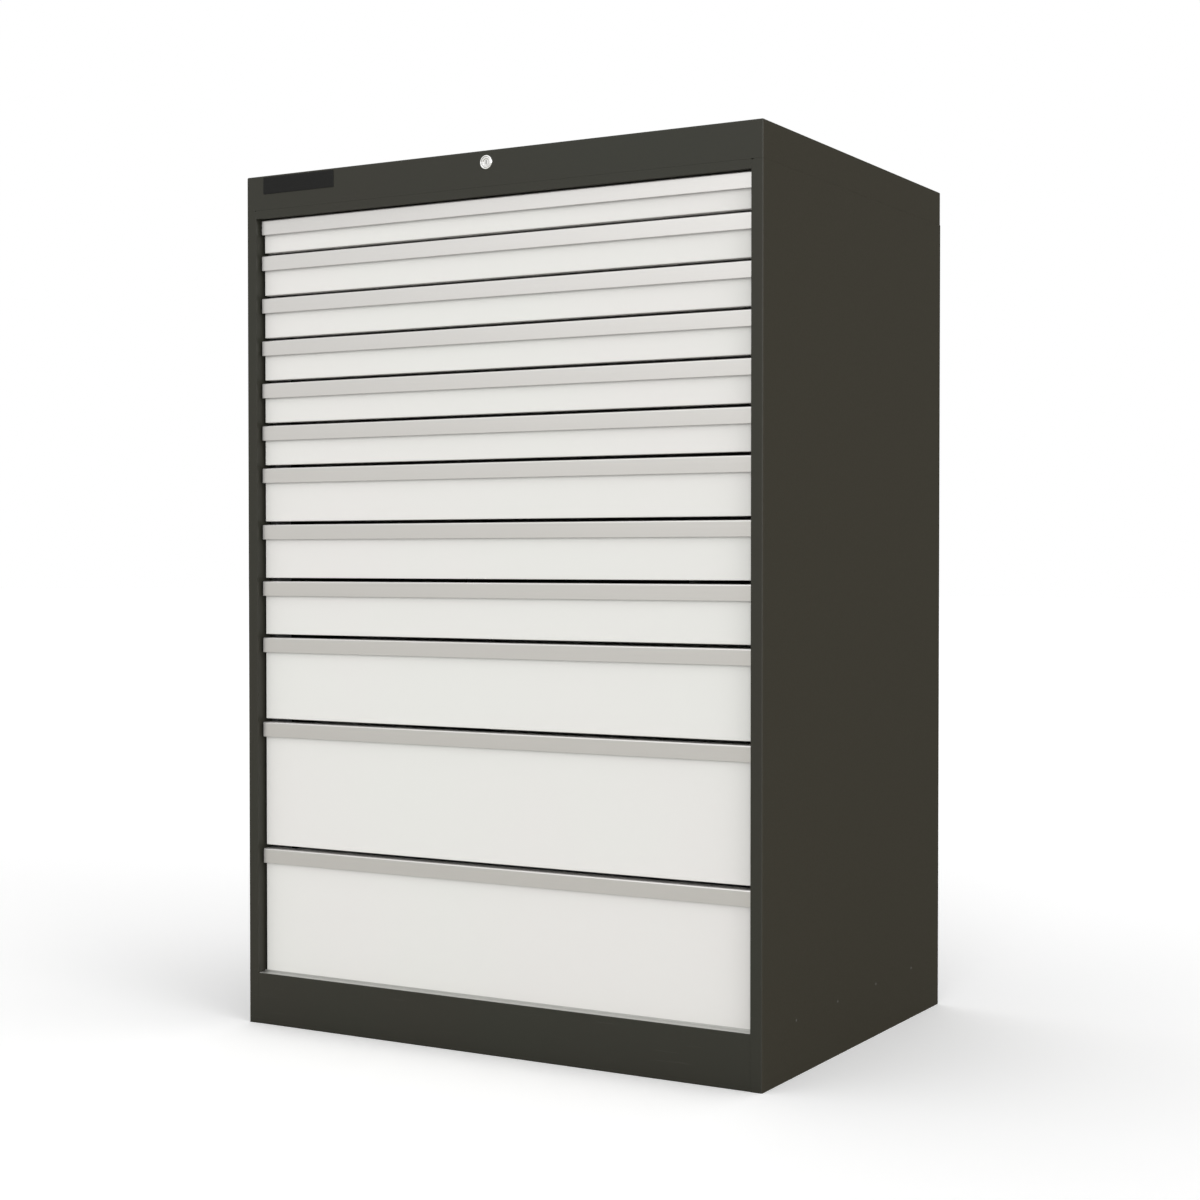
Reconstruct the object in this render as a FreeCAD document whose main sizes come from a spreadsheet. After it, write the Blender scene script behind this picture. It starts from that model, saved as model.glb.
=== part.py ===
import FreeCAD, Part
import math
import os
import Sketcher

# Heavy-duty drawer cabinet: a folded sheet-steel housing with twelve drawers on telescopic roller
# runners and one lock that holds all the drawers shut.
# X runs to the right seen from the front, Y from front to back, Z up. Millimetres.
# The origin is on the floor, under the middle of the housing.

DOC = FreeCAD.newDocument("DrawerCabinet")

# Driving dimensions: name, value, what it is.
SIZES = [
    ("cabinet_width", 1010.0, "housing, over the side panels"),
    ("cabinet_depth", 755.0, "housing, front posts to back panel"),
    ("plinth_height", 90.0, "floor to the top of the front ledge"),
    ("cap_height", 60.0, "top cap, seam to top"),
    ("header_height", 14.5, "strip of header rail under the seam"),
    ("header_flange", 27.5, "top flange of the header rail"),
    ("header_gap", 1.5, "header rail to the top handle"),
    ("ledge_gap", 4.0, "front ledge to the lowest drawer front"),
    ("front_gap", 8.0, "drawer front to the handle below"),
    ("small_pitch", 75.0, "height taken by a small drawer"),
    ("medium_pitch", 100.0, "height taken by a medium drawer"),
    ("large_pitch", 150.0, "height taken by a large drawer"),
    ("deep_pitch", 225.0, "height taken by a deep drawer"),
    ("top_drawer_cut", 12.0, "how much lower the top drawer's front is"),
    ("panel_sheet", 1.2, "side panels, back, header, plinth"),
    ("cap_sheet", 1.5, "top cap"),
    ("cap_return", 15.0, "rim folded in under the cap"),
    ("cap_bevel", 1.5, "dressed edge round the top of the cap"),
    ("bend_radius", 2.5, "outer radius of the housing's upright corners"),
    ("seam_bevel", 1.0, "bevel on both sides of the seam, and along the ledge"),
    ("post_width", 20.5, "front face of a post"),
    ("post_return", 40.0, "depth of a post and of the ledge"),
    ("side_top_flange", 18.0, "top flange of a side panel"),
    ("rear_flange", 20.0, "flange that carries the back panel"),
    ("pan_drop", 15.0, "ledge down to the floor pan"),
    ("pan_upstand", 30.0, "upturned edge of the floor pan"),
    ("pan_toe", 12.5, "foot of the plinth rail on the floor pan"),
    ("plinth_foot", 27.5, "bottom return of the plinth rail"),
    ("base_sheet", 2.0, "base rails"),
    ("base_flange", 40.0, "flange of a base rail"),
    ("anchor_inset", 25.0, "anchor hole from the side panel"),
    ("anchor_setback", 77.5, "anchor hole from the front and from the back"),
    ("anchor_radius", 7.0, "anchor hole"),
    ("upright_setback", 1.5, "upright behind the post's inner face"),
    ("upright_sheet", 1.5, "slotted upright"),
    ("upright_width", 40.0, "slotted upright, front to back"),
    ("upright_inset", 10.0, "upright from the end of the runners"),
    ("hook_width", 12.0, "hook of a fixed runner"),
    ("hook_height", 10.0, "neck of the hook"),
    ("hook_drop", 6.0, "hook below its neck"),
    ("hook_wall", 2.2, "thickness of the hook"),
    ("hook_rise", 6.0, "neck above the runner's lower edge"),
    ("slot_play", 0.5, "slot beside and behind a hook"),
    ("runner_setback", 48.0, "runners behind the front plane"),
    ("runner_rear_gap", 7.0, "fixed runner before the outside of the back panel"),
    ("runner_height", 36.0, "fixed runner and drawer rail"),
    ("runner_flange", 13.0, "depth of both channels"),
    ("runner_wall", 2.0, "wall of both channels"),
    ("runner_rise", 14.0, "runner above the drawer's zone"),
    ("carriage_setback", 4.0, "bar that carries the rollers, behind the runner's front end"),
    ("carriage_rear_gap", 21.0, "bar before the runner's rear end"),
    ("bar_thickness", 6.0, "carriage bar"),
    ("bar_height", 24.0, "carriage bar"),
    ("bar_gap", 1.0, "bar to either channel"),
    ("roller_gap", 0.3, "roller to a channel's flange"),
    ("roller_end_gap", 2.0, "roller to a channel's web"),
    ("roller_margin", 9.0, "roller to the channel's end or stop"),
    ("travel_reserve", 30.0, "fixed runner longer than the travel of its drawer"),
    ("side_gap", 4.5, "drawer front and handle to a post"),
    ("front_setback", 18.0, "drawer front behind the front plane"),
    ("front_depth", 15.0, "box-folded drawer front"),
    ("front_sheet", 1.2, "drawer front and tray"),
    ("handle_setback", 10.5, "handle behind the front plane"),
    ("handle_height", 26.0, "front lip of the handle"),
    ("handle_wall", 1.8, "wall of the extrusion"),
    ("handle_bead", 2.0, "inward bead at the foot of the lip"),
    ("handle_bevel", 1.5, "bevelled top front edge"),
    ("grip_depth", 23.0, "finger cup below the top of the handle"),
    ("tray_floor_rise", 10.0, "tray floor above the drawer's zone"),
    ("tray_top_drop", 8.0, "tray side below the handle's top"),
    ("tray_hem", 10.0, "outward fold along the tray's sides"),
    ("catch_width", 40.0, "lock catch on the rear wall"),
    ("catch_length", 25.5, "lock catch behind the rear wall"),
    ("catch_gap", 13.3, "lock catch to the lock bar"),
    ("catch_sheet", 2.0, "lock catch"),
    ("catch_rise", 46.0, "catch above the drawer's zone"),
    ("catch_lip", 15.0, "hanging lip of the catch"),
    ("lock_drop", 20.0, "lock centre below the top"),
    ("bezel_radius", 12.2, "rim of the lock"),
    ("bezel_proud", 2.0, "rim in front of the fascia"),
    ("barrel_radius", 11.0, "body of the lock"),
    ("barrel_length", 26.0, "lock body behind the fascia"),
    ("barrel_play", 0.15, "clearance of the lock's round parts"),
    ("plug_radius", 9.15, "turning plug of the lock"),
    ("plug_recess", 0.4, "plug face behind the rim"),
    ("keyway_length", 7.0, "shuttered key slot"),
    ("keyway_width", 1.2, "shuttered key slot"),
    ("keyway_depth", 1.0, "shuttered key slot"),
    ("nut_across", 30.0, "hexagon nut across flats"),
    ("nut_thickness", 4.0, "hexagon nut"),
    ("shaft_radius", 4.0, "lock shaft"),
    ("crank_radius", 11.0, "shaft axis to crank pin"),
    ("crank_turn", 90.0, "turn of the lock, in degrees"),
    ("crank_sheet", 3.0, "crank"),
    ("crank_half_width", 6.5, "crank"),
    ("crank_bevel", 4.0, "corners of the crank"),
    ("crank_gap", 1.0, "crank to lock bar"),
    ("crank_pin_radius", 2.5, "pin of the crank"),
    ("pin_play", 0.5, "crank pin above and below in its slot"),
    ("bar_sheet", 3.0, "lock bar"),
    ("bar_half_width", 12.0, "lock bar"),
    ("bar_head_half_width", 22.0, "head of the lock bar"),
    ("bar_head_drop", 17.0, "head of the lock bar below its slot"),
    ("bar_head_margin", 4.0, "lock bar around its slot"),
    ("bar_back_gap", 4.0, "lock bar to the back panel"),
    ("finger_half_width", 8.0, "lock finger"),
    ("finger_thickness", 4.0, "lock finger"),
    ("finger_gap", 3.0, "finger to the lip of the catch"),
    ("finger_rise", 8.0, "foot of the finger above the zone"),
    ("finger_foot", 3.0, "foot of the finger"),
    ("guide_sheet", 2.0, "guides of the lock bar"),
    ("guide_play", 0.5, "guide to lock bar"),
    ("guide_lip", 4.0, "guide's lips in front of the bar"),
    ("guide_height", 25.0, "guide"),
    ("guide_drop", 9.4, "middle of a guide below the base of its drawer's zone"),
    ("bearing_sheet", 2.0, "rear bearing bracket of the shaft"),
    ("bearing_flange", 14.0, "rear bearing bracket"),
    ("bearing_half_width", 15.0, "rear bearing bracket"),
    ("bearing_drop", 10.0, "bracket below the shaft axis"),
    ("bearing_gap", 4.0, "bracket to the crank"),
    ("shaft_play", 0.2, "shaft in its rear bearing"),
]

# From the top drawer down, by the size of pitch each one takes.
DRAWERS = ["small"] * 6 + ["medium"] * 3 + ["large"] + ["deep"] * 2

# The drawers under which a guide holds the lock bar.
GUIDED_DRAWERS = (1, 6, 11)

# The nylon rollers have this many flats, and their corners run on the full radius.
ROLLER_FLATS = 12


class Size:
    """A length with its value and with the expression that gives it from the sheet."""

    def __init__(self, value, text):
        self.value = value
        self.text = text

    def __add__(self, other):
        return Size(self.value + as_size(other).value, f"({self.text} + {as_size(other).text})")

    def __sub__(self, other):
        return Size(self.value - as_size(other).value, f"({self.text} - {as_size(other).text})")

    def __mul__(self, factor):
        return Size(self.value * factor, f"({self.text} * {factor})")

    def __truediv__(self, divisor):
        return Size(self.value / divisor, f"({self.text} / {divisor})")

    def __neg__(self):
        return Size(-self.value, f"(-{self.text})")


def as_size(number):
    """A plain number as a Size."""
    return number if isinstance(number, Size) else Size(float(number), str(float(number)))


def make_sheet():
    """Writes the driving dimensions into the sheet and returns them as Sizes by name."""
    sheet = DOC.addObject("Spreadsheet::Sheet", "Sizes")
    sizes = {}
    for row, (name, value, note) in enumerate(SIZES, start=1):
        sheet.set(f"A{row}", note)
        sheet.set(f"B{row}", str(value))
        sheet.setAlias(f"B{row}", name)
        sizes[name] = Size(value, f"Sizes.{name}")
    DOC.recompute()
    return sizes


S = make_sheet()
ZERO = as_size(0)
NODES = {}

# Levels of the housing. The drawers' zones are stacked on stack_base.
HALF_WIDTH = S["cabinet_width"] / 2
FRONT = -S["cabinet_depth"] / 2
BACK = S["cabinet_depth"] / 2
SHEET = S["panel_sheet"]
STACK_BASE = S["plinth_height"] + S["ledge_gap"] - S["front_gap"]
STACK_HEIGHT = sum((S[f"{kind}_pitch"] for kind in DRAWERS), ZERO)
HEADER_LOW = STACK_BASE + STACK_HEIGHT - S["top_drawer_cut"] + S["header_gap"]
SEAM = HEADER_LOW + S["header_height"]
TOP = SEAM + S["cap_height"]
PAN_TOP = S["plinth_height"] - S["pan_drop"]
PAN_LOW = PAN_TOP - SHEET

# Stations across the right-hand runner, from the upright inwards.
POST_INNER = HALF_WIDTH - S["post_width"]
PANEL_INNER = HALF_WIDTH - SHEET
UPRIGHT_FACE = POST_INNER + S["upright_setback"]
RUNNER_TIP = UPRIGHT_FACE - S["runner_flange"]
BAR_OUTER = RUNNER_TIP - S["bar_gap"]
BAR_INNER = BAR_OUTER - S["bar_thickness"]
RAIL_TIP = BAR_INNER - S["bar_gap"]
TRAY_HALF = RAIL_TIP - S["runner_flange"]
ROLLER_LENGTH = S["runner_flange"] + S["bar_gap"] - S["runner_wall"] - S["roller_end_gap"]
ROLLER_RADIUS = S["runner_height"] / 2 - S["runner_wall"] - S["roller_gap"]

# Stations from front to back.
RUNNER_FRONT = FRONT + S["runner_setback"]
RUNNER_REAR = BACK - S["runner_rear_gap"]
CARRIAGE_FRONT = RUNNER_FRONT + S["carriage_setback"]
CARRIAGE_REAR = RUNNER_REAR - S["carriage_rear_gap"]
TRAVEL = RUNNER_REAR - RUNNER_FRONT - S["travel_reserve"]
FACE = FRONT + S["front_setback"]
FACE_REAR = FACE + S["front_depth"]
BACK_INNER = BACK - SHEET

# The lock's shaft runs from the fascia to the crank, and the crank lifts the lock bar.
LOCK_Z = TOP - S["lock_drop"]
LOCK_BAR_REAR = BACK_INNER - S["bar_back_gap"]
LOCK_BAR_FRONT = LOCK_BAR_REAR - S["bar_sheet"]
CATCH_TIP = LOCK_BAR_FRONT - S["catch_gap"]
TRAY_REAR = CATCH_TIP - S["catch_length"]
CRANK_REAR = LOCK_BAR_FRONT - S["crank_gap"]
CRANK_FRONT = CRANK_REAR - S["crank_sheet"]
PLUG_REAR = FRONT + S["barrel_length"]
PIN_LOW = LOCK_Z - S["crank_radius"] * math.sin(math.radians(S["crank_turn"].value / 2))

# Sign of each origin plane's normal along its own axis.
NORMAL = {"XY": 1, "YZ": 1, "XZ": -1}


def new_body(name):
    body = DOC.addObject("PartDesign::Body", name)
    body.Label = name
    return body


def keep(name, item):
    """Marks an object as the sub-part of that name."""
    item.Label = name
    NODES[name] = item
    return item


def plane_of(body, plane):
    for item in body.Origin.OriginFeatures:
        if item.Role == f"{plane}_Plane":
            return item
    raise RuntimeError(f"{body.Label} has no {plane} plane")


def new_sketch(body, name, plane, level):
    """A sketch on one of the body's origin planes, moved to a level along that plane's axis."""
    sketch = body.newObject("Sketcher::SketchObject", name)
    sketch.AttachmentSupport = [(plane_of(body, plane), "")]
    sketch.MapMode = "FlatFace"
    shift = level if NORMAL[plane] > 0 else -level
    sketch.setExpression("AttachmentOffset.Base.z", shift.text)
    return sketch


def add_outline(sketch, points):
    """Adds a closed outline whose corners are each held to their two coordinates."""
    first = sketch.GeometryCount
    count = len(points)
    corners = [FreeCAD.Vector(as_size(a).value, as_size(b).value, 0) for a, b in points]
    sketch.addGeometry(
        [Part.LineSegment(corners[i], corners[(i + 1) % count]) for i in range(count)], False
    )
    rules = [
        Sketcher.Constraint("Coincident", first + i, 2, first + (i + 1) % count, 1)
        for i in range(count)
    ]
    for i, corner in enumerate(corners):
        rules.append(Sketcher.Constraint("DistanceX", -1, 1, first + i, 1, corner.x))
        rules.append(Sketcher.Constraint("DistanceY", -1, 1, first + i, 1, corner.y))
    start = sketch.ConstraintCount
    sketch.addConstraint(rules)
    for i, (a, b) in enumerate(points):
        sketch.setExpression(f"Constraints[{start + count + 2 * i}]", as_size(a).text)
        sketch.setExpression(f"Constraints[{start + count + 2 * i + 1}]", as_size(b).text)


def add_circle(sketch, across, along, radius):
    """Adds a circle with its centre and radius held."""
    index = sketch.GeometryCount
    start = sketch.ConstraintCount
    centre = FreeCAD.Vector(across.value, along.value, 0)
    sketch.addGeometry(Part.Circle(centre, FreeCAD.Vector(0, 0, 1), radius.value), False)
    sketch.addConstraint(
        [
            Sketcher.Constraint("DistanceX", -1, 1, index, 3, across.value),
            Sketcher.Constraint("DistanceY", -1, 1, index, 3, along.value),
            Sketcher.Constraint("Radius", index, radius.value),
        ]
    )
    for i, size in enumerate((across, along, radius)):
        sketch.setExpression(f"Constraints[{start + i}]", size.text)


def pad(body, name, plane, outlines, low, high):
    """Pads outlines on a plane from the low to the high level along the plane's axis."""
    low, high = as_size(low), as_size(high)
    sketch = new_sketch(body, f"{name}_outline", plane, low if NORMAL[plane] > 0 else high)
    for outline in outlines:
        add_outline(sketch, outline)
    feature = body.newObject("PartDesign::Pad", name)
    feature.Profile = sketch
    feature.setExpression("Length", (high - low).text)
    body.Tip = feature
    return feature


def pocket(body, name, plane, low, high, outlines=(), circles=()):
    """Cuts outlines and circles out of the body between the low and the high level."""
    low, high = as_size(low), as_size(high)
    DOC.recompute()
    before = body.Shape.Volume
    sketch = new_sketch(body, f"{name}_outline", plane, high if NORMAL[plane] > 0 else low)
    for outline in outlines:
        add_outline(sketch, outline)
    for circle in circles:
        add_circle(sketch, *circle)
    feature = body.newObject("PartDesign::Pocket", name)
    feature.Profile = sketch
    feature.setExpression("Length", (high - low).text)
    body.Tip = feature
    DOC.recompute()
    if body.Shape.Volume >= before:
        raise RuntimeError(f"{name} cuts nothing out of {body.Label}")
    return feature


def dress(body, kind, name, size, chosen):
    """Rounds (Fillet) or bevels (Chamfer) the edges of the body that the test picks."""
    DOC.recompute()
    base = body.Tip
    edges = [f"Edge{i}" for i, edge in enumerate(base.Shape.Edges, start=1) if chosen(edge)]
    if not edges:
        raise RuntimeError(f"{name} finds no edge on {body.Label}")
    feature = body.newObject(f"PartDesign::{kind}", name)
    feature.Base = (base, edges)
    feature.setExpression({"Fillet": "Radius", "Chamfer": "Size"}[kind], size.text)
    body.Tip = feature
    return feature


def rectangle(low_a, low_b, high_a, high_b):
    return [(low_a, low_b), (high_a, low_b), (high_a, high_b), (low_a, high_b)]


def mirrored(name, source):
    """The left-hand twin of a right-hand piece."""
    twin = DOC.addObject("Part::Mirroring", name)
    twin.Source = source
    twin.Base = FreeCAD.Vector(0, 0, 0)
    twin.Normal = FreeCAD.Vector(1, 0, 0)
    return twin


def group(name, items):
    """Pieces that share one sub-part, each its own solid."""
    bundle = DOC.addObject("Part::Compound", name)
    bundle.Links = items
    return bundle


def lay_down(item, turn_axis, angle, start, length):
    """Turns an upright primitive about an axis, binds its length and puts its foot at the start."""
    turn = FreeCAD.Rotation(FreeCAD.Vector(*turn_axis), angle)
    item.Placement = FreeCAD.Placement(FreeCAD.Vector(0, 0, 0), turn)
    item.setExpression("Height", length.text)
    for key, size in zip("xyz", start):
        item.setExpression(f"Placement.Base.{key}", as_size(size).text)
    return item


def is_near(value, size):
    return abs(value - size.value) < 0.01


def upright_edge_at(x, y):
    """Test for the vertical edge that stands at x and y."""

    def test(edge):
        box = edge.BoundBox
        flat = box.XLength < 0.01 and box.YLength < 0.01
        return flat and is_near(box.Center.x, x) and is_near(box.Center.y, y)

    return test


def side_panel():
    """Side panel with its front post folded round, a top flange and a rear flange."""
    body = new_body("right_side_panel")
    pad(
        body,
        "panel",
        "XY",
        [
            [
                (HALF_WIDTH, FRONT),
                (HALF_WIDTH, BACK_INNER),
                (HALF_WIDTH - S["rear_flange"], BACK_INNER),
                (HALF_WIDTH - S["rear_flange"], BACK_INNER - SHEET),
                (PANEL_INNER, BACK_INNER - SHEET),
                (PANEL_INNER, FRONT + SHEET),
                (POST_INNER + SHEET, FRONT + SHEET),
                (POST_INNER + SHEET, FRONT + S["post_return"]),
                (POST_INNER, FRONT + S["post_return"]),
                (POST_INNER, FRONT),
            ]
        ],
        ZERO,
        SEAM,
    )
    flange = rectangle(
        PANEL_INNER - S["side_top_flange"] + SHEET, FRONT + SHEET, PANEL_INNER, BACK_INNER - SHEET
    )
    pad(body, "top_flange", "XY", [flange], SEAM - SHEET, SEAM)
    dress(body, "Fillet", "corner", S["bend_radius"], upright_edge_at(HALF_WIDTH, FRONT))
    dress(
        body,
        "Chamfer",
        "seam_bend",
        S["seam_bevel"],
        lambda edge: is_near(edge.BoundBox.ZMin, SEAM)
        and is_near(edge.BoundBox.ZMax, SEAM)
        and is_near(edge.BoundBox.XMin, HALF_WIDTH),
    )
    keep("right_side_panel", body)
    keep("left_side_panel", mirrored("left_side_panel", body))


def back_panel():
    body = new_body("back_panel")
    outline = rectangle(-HALF_WIDTH, ZERO, HALF_WIDTH, SEAM)
    pad(body, "sheet", "XZ", [outline], BACK_INNER, BACK)
    keep("back_panel", body)


def top_cap():
    """Inverted pan with a rim folded in under its front and sides, and the hole of the lock."""
    body = new_body("top_cap")
    wall = S["cap_sheet"]
    outline = rectangle(-HALF_WIDTH, FRONT, HALF_WIDTH, BACK)
    pad(body, "block", "XY", [outline], SEAM, TOP)
    dress(
        body,
        "Fillet",
        "corners",
        S["bend_radius"],
        lambda edge: is_near(edge.BoundBox.ZLength, S["cap_height"]),
    )
    dress(
        body, "Chamfer", "top_edge", S["cap_bevel"], lambda edge: is_near(edge.BoundBox.ZMin, TOP)
    )
    dress(
        body,
        "Chamfer",
        "seam_bend",
        S["seam_bevel"],
        lambda edge: is_near(edge.BoundBox.ZMax, SEAM),
    )
    hollow = rectangle(-HALF_WIDTH + wall, FRONT + wall, HALF_WIDTH - wall, BACK - wall)
    pocket(body, "hollow", "XY", SEAM, TOP - wall, outlines=[hollow])
    rim = S["cap_return"]
    left, right = -HALF_WIDTH + wall, HALF_WIDTH - wall
    pad(
        body,
        "rim",
        "XY",
        [
            [
                (left, FRONT + wall),
                (right, FRONT + wall),
                (right, BACK - wall),
                (right - rim, BACK - wall),
                (right - rim, FRONT + wall + rim),
                (left + rim, FRONT + wall + rim),
                (left + rim, BACK - wall),
                (left, BACK - wall),
            ]
        ],
        SEAM,
        SEAM + wall,
    )
    hole = (ZERO, LOCK_Z, S["barrel_radius"] + S["barrel_play"])
    pocket(body, "lock_hole", "XZ", FRONT, FRONT + wall, circles=[hole])
    keep("top_cap", body)


def header_rail():
    """Channel between the posts, above the top drawer."""
    body = new_body("header_rail")
    deep, shallow = FRONT + S["post_return"], FRONT + S["header_flange"]
    outline = [
        (FRONT, HEADER_LOW),
        (deep, HEADER_LOW),
        (deep, HEADER_LOW + SHEET),
        (FRONT + SHEET, HEADER_LOW + SHEET),
        (FRONT + SHEET, SEAM - SHEET),
        (shallow, SEAM - SHEET),
        (shallow, SEAM),
        (FRONT, SEAM),
    ]
    pad(body, "channel", "YZ", [outline], -POST_INNER, POST_INNER)
    keep("header_rail", body)


def plinth_rail():
    """Front of the base: its top is the ledge under the drawers, its foot stands on the pan."""
    body = new_body("plinth_rail")
    ledge = S["plinth_height"]
    deep, foot = FRONT + S["post_return"], FRONT + S["plinth_foot"]
    outline = [
        (FRONT, ZERO),
        (foot, ZERO),
        (foot, SHEET),
        (FRONT + SHEET, SHEET),
        (FRONT + SHEET, ledge - SHEET),
        (deep - SHEET, ledge - SHEET),
        (deep - SHEET, PAN_TOP),
        (deep + S["pan_toe"], PAN_TOP),
        (deep + S["pan_toe"], PAN_TOP + SHEET),
        (deep, PAN_TOP + SHEET),
        (deep, ledge),
        (FRONT, ledge),
    ]
    pad(body, "rail", "YZ", [outline], -POST_INNER, POST_INNER)
    dress(
        body,
        "Chamfer",
        "ledge_bend",
        S["seam_bevel"],
        lambda edge: is_near(edge.BoundBox.ZMin, ledge) and is_near(edge.BoundBox.YMax, FRONT),
    )
    keep("plinth_rail", body)


def floor_pan():
    """Floor of the housing, turned up at its sides and rear."""
    body = new_body("floor_pan")
    front, rear = FRONT + S["post_return"], BACK_INNER - SHEET
    outline = rectangle(-PANEL_INNER, front, PANEL_INNER, rear)
    pad(body, "floor", "XY", [outline], PAN_LOW, PAN_TOP)
    inner = PANEL_INNER - SHEET
    upstand = [
        (-PANEL_INNER, front),
        (-inner, front),
        (-inner, rear - SHEET),
        (inner, rear - SHEET),
        (inner, front),
        (PANEL_INNER, front),
        (PANEL_INNER, rear),
        (-PANEL_INNER, rear),
    ]
    pad(body, "upstand", "XY", [upstand], PAN_TOP, PAN_TOP + S["pan_upstand"])
    keep("floor_pan", body)


def channel_outline(web, tip, low, high, wall):
    """C section between two heights, with its web on one side and its flanges to the tip."""
    inner = web - wall if web.value > tip.value else web + wall
    return [
        (web, low),
        (tip, low),
        (tip, low + wall),
        (inner, low + wall),
        (inner, high - wall),
        (tip, high - wall),
        (tip, high),
        (web, high),
    ]


def base_rails():
    """Channels that carry the floor pan: two along the sides with anchor holes, one at the rear."""
    wall = S["base_sheet"]
    front, rear = FRONT + S["post_return"], BACK_INNER - SHEET
    inner = PANEL_INNER - S["base_flange"]
    side = new_body("right_base_rail")
    outline = channel_outline(PANEL_INNER, inner, ZERO, PAN_LOW, wall)
    pad(side, "channel", "XZ", [outline], front, rear)
    across = HALF_WIDTH - S["anchor_inset"]
    ends = (FRONT + S["anchor_setback"], BACK - S["anchor_setback"])
    holes = [(across, y, S["anchor_radius"]) for y in ends]
    pocket(side, "anchor_holes", "XY", ZERO, wall, circles=holes)
    keep("right_base_rail", side)
    keep("left_base_rail", mirrored("left_base_rail", side))
    back = new_body("rear_base_rail")
    outline = channel_outline(rear, rear - S["base_flange"], ZERO, PAN_LOW, wall)
    pad(back, "channel", "YZ", [outline], -inner, inner)
    keep("rear_base_rail", back)


def zones():
    """Each drawer's number, zone base and handle top, from the top drawer down."""
    level = STACK_BASE + STACK_HEIGHT
    for number, kind in enumerate(DRAWERS, start=1):
        top = level - S["top_drawer_cut"] if number == 1 else level
        level = level - S[f"{kind}_pitch"]
        yield number, level, top


def upright(name, front):
    """Channel with one slot for each fixed runner's hook. It stands on the floor pan."""
    body = new_body(f"{name}_right")
    wall = S["upright_sheet"]
    rear = front + S["upright_width"]
    outer = PANEL_INNER - SHEET
    outline = [
        (UPRIGHT_FACE, front),
        (outer, front),
        (outer, front + wall),
        (UPRIGHT_FACE + wall, front + wall),
        (UPRIGHT_FACE + wall, rear - wall),
        (outer, rear - wall),
        (outer, rear),
        (UPRIGHT_FACE, rear),
    ]
    pad(body, "channel", "XY", [outline], PAN_TOP, SEAM - SHEET)
    middle = (front + rear) / 2
    half = S["hook_width"] / 2 + S["slot_play"]
    slots = []
    for _, base, _ in zones():
        low = base + S["runner_rise"] + S["hook_rise"]
        high = low + S["hook_height"] + S["hook_drop"] + S["slot_play"]
        slots.append(rectangle(middle - half, low, middle + half, high))
    pocket(body, "slots", "YZ", UPRIGHT_FACE, UPRIGHT_FACE + wall, outlines=slots)
    keep(name, group(name, [body, mirrored(f"{name}_left", body)]))
    return middle


def fixed_runners():
    """One channel for each drawer and side, hung by two hooks in the uprights' slots."""
    front_upright = RUNNER_FRONT + S["upright_inset"]
    rear_upright = RUNNER_REAR - S["upright_inset"] - S["upright_width"]
    middles = [upright("front_uprights", front_upright), upright("rear_uprights", rear_upright)]
    wall = S["runner_wall"]
    neck_out = UPRIGHT_FACE + S["upright_sheet"] + S["slot_play"]
    half = S["hook_width"] / 2
    runners = []
    for number, base, _ in zones():
        body = new_body(f"fixed_runner_{number:02d}")
        low = base + S["runner_rise"]
        high = low + S["runner_height"]
        outline = channel_outline(UPRIGHT_FACE, RUNNER_TIP, low, high, wall)
        pad(body, "channel", "XZ", [outline], RUNNER_FRONT, RUNNER_REAR)
        stop = rectangle(RUNNER_TIP, low + wall, UPRIGHT_FACE - wall, high - wall)
        pad(body, "front_stop", "XZ", [stop], RUNNER_FRONT, RUNNER_FRONT + wall)
        neck = low + S["hook_rise"]
        hook = [
            (UPRIGHT_FACE, neck),
            (neck_out, neck),
            (neck_out, neck - S["hook_drop"]),
            (neck_out + S["hook_wall"], neck - S["hook_drop"]),
            (neck_out + S["hook_wall"], neck + S["hook_height"]),
            (UPRIGHT_FACE, neck + S["hook_height"]),
        ]
        for place, middle in zip(("front", "rear"), middles):
            pad(body, f"{place}_hook", "XZ", [hook], middle - half, middle + half)
        runners.append(body)
    twins = [mirrored(f"{runner.Name}_left", runner) for runner in runners]
    keep("right_runners", group("right_runners", runners))
    keep("left_runners", group("left_runners", twins))


def carriage(number, base):
    """Bars with rollers on both faces. Half as fast as the drawer, they join it to the housing."""
    name = f"drawer_{number:02d}_carriage"
    middle = base + S["runner_rise"] + S["runner_height"] / 2
    half = S["bar_height"] / 2
    bar = new_body(f"{name}_bar")
    outline = rectangle(CARRIAGE_FRONT, middle - half, CARRIAGE_REAR, middle + half)
    pad(bar, "bar", "YZ", [outline], BAR_INNER, BAR_OUTER)
    reach = ROLLER_RADIUS + S["roller_margin"]
    half_travel = TRAVEL / 2
    # The outer rollers stay in the fixed channel and the inner ones in the drawer's rail.
    outer = [RUNNER_FRONT + S["runner_wall"] + reach + half_travel, CARRIAGE_REAR - reach]
    inner = [CARRIAGE_FRONT + reach, TRAY_REAR - S["runner_wall"] - reach - half_travel]
    rollers = []
    for side, start, stations in (
        ("outer", BAR_OUTER, outer),
        ("inner", BAR_INNER - ROLLER_LENGTH, inner),
    ):
        for i, along in enumerate(stations, start=1):
            roller = DOC.addObject("Part::Prism", f"{name}_{side}_roller_{i}")
            roller.Polygon = int(ROLLER_FLATS)
            roller.setExpression("Circumradius", ROLLER_RADIUS.text)
            rollers.append(lay_down(roller, (0, 1, 0), 90, (start, along, middle), ROLLER_LENGTH))
    right = group(f"{name}_right", [bar] + rollers)
    keep(name, group(name, [right, mirrored(f"{name}_left", right)]))


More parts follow.
